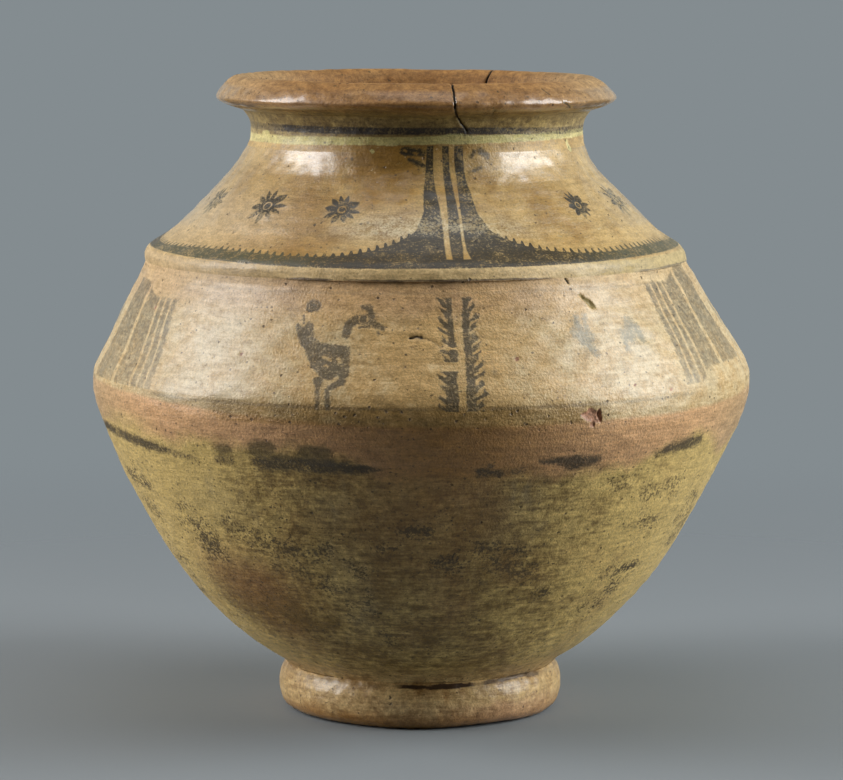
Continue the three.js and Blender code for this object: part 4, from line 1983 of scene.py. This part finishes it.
@dataclass(frozen=True)
class FriezeFoot(FriezePainting):
    """The lowest few millimetres of the frieze's painting, where it runs on over the belt."""

    name: str = "frieze_foot"
    legs: tuple[Point, ...] = ((-17, 1), (-15.3, 1.1))

    def work(self, bench: Bench) -> Results:
        """Paints the bird's legs, the stems and the lines.

        Args:
            bench: Where the group is made.

        Returns:
            How dark the painting is, how worn and how faded.
        """
        _, brush, swayed = self._brushes(bench)
        legs = nearest(abs(swayed.turn - leg) * FRIEZE.across - half for leg, half in self.legs)
        legs = legs.most((159.6 - brush.height) * FRIEZE.up)
        drawn = (legs.least(self._stems(swayed)) + brush.grain * 0.65).ramp(0.45, -0.45)
        lines = self._lines(brush)
        return {"Mark": drawn.most(lines * 0.55), "Wear": lines * 0.2 + 0.12, "Faded": lines * 0.1}


@dataclass(frozen=True)
class NeckPainting(Recipe):
    """The dark line round the neck, over the cream band."""

    name: str = "neck_painting"
    outputs: Sockets = MARK

    def work(self, bench: Bench) -> Results:
        """Paints the line, paler towards its ends.

        Args:
            bench: Where the group is made.

        Returns:
            How dark the line is, how worn and how faded.
        """
        turn, height, place = bench.given("Turn", "Height", "Place")
        wobble = bench.cloud(place, 9) * 1.2
        grain = bench.grain(place, 1.6)
        middle = 277.0 - turn.ramp(20, 62) * 1.6
        line = abs(height + wobble * 0.4 - middle) - 1.6
        mark = (line + grain * 0.45).ramp(0.45, -0.45)
        away = turn.ramp(-50, -58).most(turn.ramp(14, 52) * 0.55).least(0.75)
        return {"Mark": mark, "Wear": away * 0.55 + 0.1, "Faded": away * 0.6}


@dataclass(frozen=True)
class BeltLine(Recipe):
    """The broken dark line under the belt, left in pieces of many shapes."""

    name: str = "belt_line"
    outputs: Sockets = MARK
    pieces: Strokes = (
        (-78, 139.2, -68, 138.4, 2, 2.4), (-68, 138.4, -52, 135.4, 2.6, 2.4),
        (-52, 135.4, -42, 132.4, 2, 0.7), (-37, 133.4, -34.4, 133.2, 1.9, 1.5),
        (-28.9, 133.4, -17, 133.8, 2.9, 3), (-17, 133.8, -9.4, 133.2, 3, 2.3),
        (-9.4, 133.2, -6.4, 132.9, 2, 0.3), (10.2, 131.6, 13.6, 131.4, 2, 1.8),
        (11.6, 132, 11.8, 134.6, 1.4, 0.6), (16, 131.8, 17.2, 131.8, 1.4, 1.3),
        (20.4, 135.8, 26.8, 134.6, 0.5, 3.3), (26.8, 134.3, 31.6, 134.6, 3.4, 2),
        (45, 133.8, 48, 136.2, 1, 2.4), (48, 136.2, 57, 137.2, 2.4, 2.9),
    )

    def work(self, bench: Bench) -> Results:
        """Paints the pieces on the front, and a line with gaps behind.

        Args:
            bench: Where the group is made.

        Returns:
            How dark the line is, how worn and how faded.
        """
        turn, height, place = bench.given("Turn", "Height", "Place")
        ragged = bench.cloud(place, 3.4, 5, 0.85, (1.8, 1.8, 1)) * 9.0
        parts = BELT.strokes(BELT.plane(turn, height), self.pieces)
        behind = abs(height - 136.8) - 2.0
        gaps = bench.cloud(place, 42, 1).ramp(0.1, 0) * abs(turn).ramp(77, 79)
        behind = behind + (1 - gaps) * 9
        mark = (parts.least(behind) + ragged).ramp(1.4, -1.2)
        thin = bench.cloud(place, 20).ramp(-0.1, 0.2)
        worn = turn.bump(-42, 14) * 0.3 + thin * 0.14 + 0.04
        return {"Mark": mark, "Wear": worn, "Faded": thin * 0.35}


@dataclass(frozen=True)
class ClayTooth(Recipe):
    """The fine unevenness of the clay, in millimetres: grain, burnishing strokes and small pits."""

    name: str = "clay_tooth"
    inputs: Sockets = sockets("Grain Strokes Pits", "Place")
    outputs: Sockets = sockets("Rise Pitted")

    def work(self, bench: Bench) -> Results:
        """Adds up the grain, the strokes and the pits.

        Args:
            bench: Where the group is made.

        Returns:
            How far the clay stands out, and where it is pitted.
        """
        grained, stroked, pits, place = bench.given("Grain", "Strokes", "Pits", "Place")
        grain = bench.cloud(place, 1.1, 3, 0.6) * grained
        strokes = bench.cloud(place, 2, 3, 0.55, stretch=(8, 8, 1)) * stroked
        ragged = bench.cloud(place, 0.8) * 0.3
        near, lot = bench.dots(place, 3.4)
        kept = (pits - lot).ramp(-0.01, 0.05)
        hole = (near + ragged).ramp(0.24, 0.12) * kept
        return {"Rise": grain + strokes - hole * 0.35, "Pitted": hole}


@dataclass(frozen=True)
class Paint:
    """A painting on the clay, and the colours of its dark and of its faded ink."""

    recipe: Recipe
    ink: Colour
    pale: Colour
    strength: float = 1.0


SHOULDER_PAINT = Paint(ShoulderPainting(), pigment(44, 37, 21), pigment(90, 88, 60))
FRIEZE_PAINT = Paint(FriezePainting(), pigment(80, 68, 46), pigment(132, 126, 104), 0.92)
FRIEZE_FOOT_PAINT = Paint(FriezeFoot(), FRIEZE_PAINT.ink, FRIEZE_PAINT.pale, 0.9)
NECK_PAINT = Paint(NeckPainting(), pigment(52, 44, 38), pigment(96, 86, 66))
BELT_PAINT = Paint(BeltLine(), pigment(62, 50, 30), pigment(98, 80, 48), 0.92)


@dataclass(frozen=True)
class StainDrifts(Recipe):
    """Where dark stains have gathered on the lower body."""

    name: str = "stain_drifts"
    inputs: Sockets = sockets("Turn Height")
    outputs: Sockets = sockets("Amount")
    period: float = 120.0
    drifts: tuple[tuple[float, float, float, float, float], ...] = (
        (-53, 106.5, -50, 106.5, 2.6), (-55, 98, -47.5, 99, 3.2), (-50, 92, -46, 94, 4.4),
        (-50, 86, -45, 86, 3.6), (-39.5, 101, -34.5, 98, 4.2), (-32, 93.5, -26.5, 93, 4.2),
        (-23.2, 90, -22.5, 91, 3.8), (-19.2, 93, -17.5, 95, 2.6), (-31.5, 83, -29, 84, 2.4),
        (-26.6, 82.5, -24.5, 81.5, 3.4), (-13.5, 86, -12.3, 82, 2.6), (-11.4, 73, -10.8, 64, 1.8),
        (-20, 77, -17.6, 73, 3), (-16.5, 65, -16, 60, 2.4), (-9, 49, -8, 47, 2.8),
        (-3, 104, 1, 103.4, 2), (-6.8, 96, -5.6, 94.5, 2.4), (12, 95.2, 20.5, 93, 2.6),
        (15, 87, 16.2, 84.5, 3.4), (4, 88, 7, 88.5, 2.2), (19, 86, 25, 79, 3.4),
        (36, 123, 40, 122, 2.8), (46.5, 116.5, 56, 116, 3.2), (49.5, 102, 54, 99, 2.8),
        (46, 76.5, 56, 78, 2.2), (51, 68.5, 53, 68, 2.8), (28.6, 71, 30, 70.5, 2.2),
        (44, 60, 52, 61, 2),
    )

    def work(self, bench: Bench) -> Results:
        """Works out how near the next drift is.

        Args:
            bench: Where the group is made.

        Returns:
            How many stains there are.
        """
        turn, height = bench.given("Turn", "Height")
        cell = (turn + self.period / 2).folded(self.period) - self.period / 2
        near = BOWL.strokes(BOWL.plane(cell, height), tuple((*drift, drift[-1]) for drift in self.drifts))
        return {"Amount": near.ramp(6, -2.4)}


@dataclass(frozen=True)
class ClayFinish:
    """The finish of one member: its gloss, its tooth and the paintings that run over it."""

    name: str
    roughness: float
    coat: float = 0.15
    coat_roughness: float = 0.24
    sheen: float = 0.5
    grain: float = 0.32
    strokes: float = 0.24
    pits: float = 0.08
    fleck_size: float = 6.0
    flecks: float = 0.05
    drifting: bool = False
    paints: tuple[Paint, ...] = ()
    inside: Colour = pigment(176, 118, 72)
    broken: Colour = pigment(198, 142, 108)
    # crack is painted shade in the cracks and the pits; gouge is flaked clay on chips and painted shade in
    # the grooves' shallower parts.
    crack: Colour = pigment(38, 24, 12)
    gouge: Colour = pigment(70, 58, 26)
    mould: Colour = pigment(150, 128, 70)

    def material(self) -> bpy.types.Material:
        """Makes the material.

        Returns:
            The new material.
        """
        material = bpy.data.materials.new(self.name)
        material.use_nodes = True
        tree = material.node_tree
        shader = tree.nodes["Principled BSDF"]
        bench = Bench(tree)
        spot = bench.use(PlaceOnJar())
        where = {name: spot[name] for name in ("Turn", "Height", "Place")}
        slip = bench.use(SlipColours(), **where)
        colour = slip["Colour"]
        stained = self._flecks(bench, where)
        colour = colour.toward(SlipColours.stain, stained)
        cover = None
        for paint in self.paints:
            drawn = bench.use(paint.recipe, **where)
            given = {"Under": colour, "Ink": paint.ink, "Pale": paint.pale, "Place": where["Place"]}
            given |= {"Wear": drawn["Wear"], "Faded": drawn["Faded"]}
            laid = bench.use(WornInk(), Mark=drawn["Mark"] * paint.strength, **given)
            colour = laid["Colour"]
            cover = laid["Cover"] if cover is None else cover.most(laid["Cover"])
        tooth = bench.use(
            ClayTooth(),
            Place=where["Place"],
            Grain=self.grain,
            Strokes=self.strokes,
            Pits=self._pits(where),
        )
        # The pits are darkened with the crack colour: painted shade in them.
        colour = colour.toward(self.crack, tooth["Pitted"] * 0.7)
        colour = self._damage(bench, colour, spot)
        rough = slip["Rough"] + self.roughness + tooth["Pitted"] * 0.2 + spot["Hidden"] * 0.3
        rough = rough + spot["Chip"].ramp(0.05, 0.4) * 0.25
        if cover is not None:
            rough = rough + cover * 0.06
        plug(shader.inputs["Base Color"], colour)
        plug(shader.inputs["Roughness"], rough.most(0.12).least(0.95))
        plug(shader.inputs["Coat Weight"], slip["Gloss"] * (1 - spot["Hidden"]) * self.coat)
        shader.inputs["Coat Roughness"].default_value = self.coat_roughness
        shader.inputs["Specular IOR Level"].default_value = self.sheen
        bump = node_of(tree, "Bump")
        bump.inputs["Distance"].default_value = 1 / METRE
        bump.inputs["Strength"].default_value = 1
        plug(bump.inputs["Height"], tooth["Rise"])
        tree.links.new(bump.outputs["Normal"], shader.inputs["Normal"])
        return material

    def _flecks(self, bench: Bench, where: dict[str, Field]) -> Field:
        """Stains the clay, more so on the lower body, in drifts.

        Args:
            bench: Where the material is made.
            where: The turn, the height and the place.

        Returns:
            Where the stains lie.
        """
        turn, height, place = where["Turn"], where["Height"], where["Place"]
        drifts = bench.cloud(place, 26, 3, 0.6).ramp(-0.1, 0.3)
        low_body = height.ramp(150, 128) * height.ramp(22, 40)
        amount = self.flecks + drifts * low_body * 0.24
        if self.drifting:
            amount = amount + bench.use(StainDrifts(), Turn=turn, Height=height)["Amount"] * 0.85
        mask = bench.use(DarkFlecks(), Place=place, Size=self.fleck_size, Amount=amount)["Mask"]
        return mask * (drifts * 0.3 + 0.7)

    def _pits(self, where: dict[str, Field]) -> Field:
        """Pits the clay, more so in the worn strip at the foot of the frieze.

        Args:
            where: The turn, the height and the place.

        Returns:
            How many pits there are.
        """
        turn, height = where["Turn"], where["Height"]
        worn = height.between(153.5, 161, 2) * turn.between(-36, 29, 6)
        near_top = height.between(200, 214, 4) * turn.between(-30, 24, 10)
        return worn * 0.5 + near_top * 0.1 + self.pits

    def _damage(self, bench: Bench, colour: Field, spot: dict[str, Field]) -> Field:
        """Colours the chips, the gouges and the cracks, the last two darkening with depth as painted
        shade, and the bare clay inside the jar.

        Args:
            bench: Where the material is made.
            colour: The colour of what is whole.
            spot: The place and the damage there.

        Returns:
            The colour.
        """
        flaky = bench.cloud(spot["Place"], 1.4, 3, 0.65)
        bare = blend(bench.tree, (flaky + 0.5).ramp(0.3, 0.9), self.broken, self.gouge)
        mouldy = spot["Height"].ramp(190, 198) * spot["Turn"].between(31, 38, 1)
        bare = bare.toward(self.mould, mouldy)
        colour = colour.toward(bare, (spot["Chip"] + flaky * 0.08).ramp(0.06, 0.3))
        # The grooves darken with their depth, first to the gouge colour, then to the crack colour: painted
        # shade in them.
        cut = spot["Groove"]
        colour = colour.toward(self.gouge, cut.ramp(0.1, 0.5) * 0.9)
        colour = colour.toward(self.crack, cut.ramp(0.35, 0.75) * 0.95)
        return colour.toward(self.inside, spot["Hidden"] * (flaky * 0.6 + 0.8))


FINISHES: dict[str, ClayFinish] = {
    "foot_ring": ClayFinish(
        "foot_clay", roughness=0.42, coat=0.45, coat_roughness=0.24, grain=0.24, flecks=0.2,
    ),
    "lower_body": ClayFinish(
        "bowl_slip", roughness=0.5, coat=0.16, grain=0.36, flecks=0.42, drifting=True,
        paints=(BELT_PAINT,),
    ),
    "belly_band": ClayFinish(
        "band_wash", roughness=0.46, coat=0.3, coat_roughness=0.3, grain=0.44, flecks=0.2,
        paints=(FRIEZE_FOOT_PAINT, BELT_PAINT),
    ),
    "upper_body": ClayFinish(
        "frieze_slip", roughness=0.44, coat=0.5, coat_roughness=0.3, sheen=0.55, grain=0.32,
        strokes=0.2, flecks=0.16, paints=(FRIEZE_PAINT,),
    ),
    "shoulder": ClayFinish(
        "shoulder_slip", roughness=0.4, coat=1, coat_roughness=0.21, sheen=0.8, grain=0.24,
        strokes=0.2, flecks=0.16, paints=(SHOULDER_PAINT,),
    ),
    "neck": ClayFinish(
        "neck_slip", roughness=0.5, coat=0.15, flecks=0.24, paints=(SHOULDER_PAINT, NECK_PAINT),
    ),
    "rim": ClayFinish("rim_wash", roughness=0.44, coat=0.9, coat_roughness=0.18, grain=0.3, flecks=0.34),
}


@dataclass(frozen=True)
class Lamp:
    """A soft light that faces the jar, with its power in watts and its width and height."""

    name: str
    place: Triple
    power: float
    size: Point
    tint: Triple = (1, 1, 1)


@dataclass(frozen=True)
class Studio:
    """The pale floor, the soft lights and the camera."""

    camera_place: Triple = (0, -1.7342, 0.3572)
    camera_tilt: float = 83.204
    lens: float = 157.3
    floor_radius: float = 0.95
    floor_solid: float = 0.2
    floor_tone: Colour = pigment(132, 137, 140)
    backdrop: Colour = pigment(132, 140, 144)
    air_tone: Colour = pigment(200, 190, 168)
    air_strength: float = 0.02
    aim: Triple = (0, 0, 0.17)
    lamps: tuple[Lamp, ...] = (
        Lamp("left_window", (-1.4, -0.08, 0.77), 26.5, (0.75, 1.6)),
        Lamp("right_window", (1.4, -0.17, 0.78), 31, (0.85, 1.7), (0.95, 0.985, 1)),
        Lamp("ceiling", (0, -0.15, 2.2), 8, (1.5, 1.5)),
        Lamp("back_wall", (0, 1.7, 0.6), 6.4, (3.6, 2), (0.86, 0.97, 1)),
    )

    def build(self) -> None:
        """Lays the floor, hangs the lights and sets the camera."""
        self._floor()
        for lamp in self.lamps:
            self._hang(lamp)
        self._air()
        bpy.context.scene.view_settings.view_transform = "Standard"
        bpy.context.scene.view_settings.look = "None"
        self._camera()

    def _air(self) -> None:
        """Fills the room with weak light from all sides, in front of a pale backdrop."""
        world = bpy.data.worlds.new("soft_air")
        world.use_nodes = True
        tree = world.node_tree
        air = tree.nodes["Background"]
        path = tree.nodes.new("ShaderNodeLightPath")
        seen = Field(tree, path.outputs["Is Camera Ray"])
        plug(air.inputs["Color"], blend(tree, seen, self.air_tone, self.backdrop))
        plug(air.inputs["Strength"], seen.ramp_straight(self.air_strength, 1))
        bpy.context.scene.world = world

    def _floor(self) -> None:
        """A wide flat floor that fades into the backdrop."""
        count = 64
        ring = [2 * math.pi * i / count for i in range(count)]
        rim = [(math.cos(a) * self.floor_radius, math.sin(a) * self.floor_radius, 0) for a in ring]
        mesh = bpy.data.meshes.new("floor")
        mesh.from_pydata(rim, [], [list(range(count))])
        floor = bpy.data.objects.new("floor", mesh)
        bpy.context.scene.collection.objects.link(floor)
        material = bpy.data.materials.new("pale_floor")
        material.use_nodes = True
        tree = material.node_tree
        shader = tree.nodes["Principled BSDF"]
        shader.inputs["Base Color"].default_value = self.floor_tone
        shader.inputs["Roughness"].default_value = 0.9
        shader.inputs["Specular IOR Level"].default_value = 0.2
        place = Field(tree, tree.nodes.new("ShaderNodeNewGeometry").outputs["Position"])
        plug(shader.inputs["Alpha"], place.length().ramp(self.floor_radius * 0.97, self.floor_solid))
        mesh.materials.append(material)

    def _hang(self, lamp: Lamp) -> None:
        """Hangs a light.

        Args:
            lamp: The light.
        """
        data = bpy.data.lights.new(lamp.name, "AREA")
        data.color = lamp.tint
        data.shape = "ELLIPSE"
        data.size, data.size_y = lamp.size
        data.energy = lamp.power
        hung = bpy.data.objects.new(lamp.name, data)
        hung.location = lamp.place
        way = Vector(self.aim) - Vector(lamp.place)
        hung.rotation_euler = way.to_track_quat("-Z", "Y").to_euler()
        hung.visible_camera = False
        bpy.context.scene.collection.objects.link(hung)

    def _camera(self) -> None:
        """Sets the camera where the photograph was taken from."""
        data = bpy.data.cameras.new("view")
        data.lens = self.lens
        data.sensor_width = 36.0
        camera = bpy.data.objects.new("view", data)
        camera.location = self.camera_place
        camera.rotation_euler = (math.radians(self.camera_tilt), 0, 0)
        bpy.context.scene.collection.objects.link(camera)
        bpy.context.scene.camera = camera


def main() -> None:
    """Builds and dresses the jar's members and sets the studio."""
    logging.basicConfig(level=logging.INFO, format="%(name)s: %(message)s")
    for member in (FootRing(), Bowl(), Belt(), UpperBody(), Shoulder(), Neck(), Rim()):
        piece = member.build()
        piece.data.materials.append(FINISHES[member.node].material())
    Studio().build()
    bpy.context.view_layer.update()


if __name__ == "__main__":
    main()
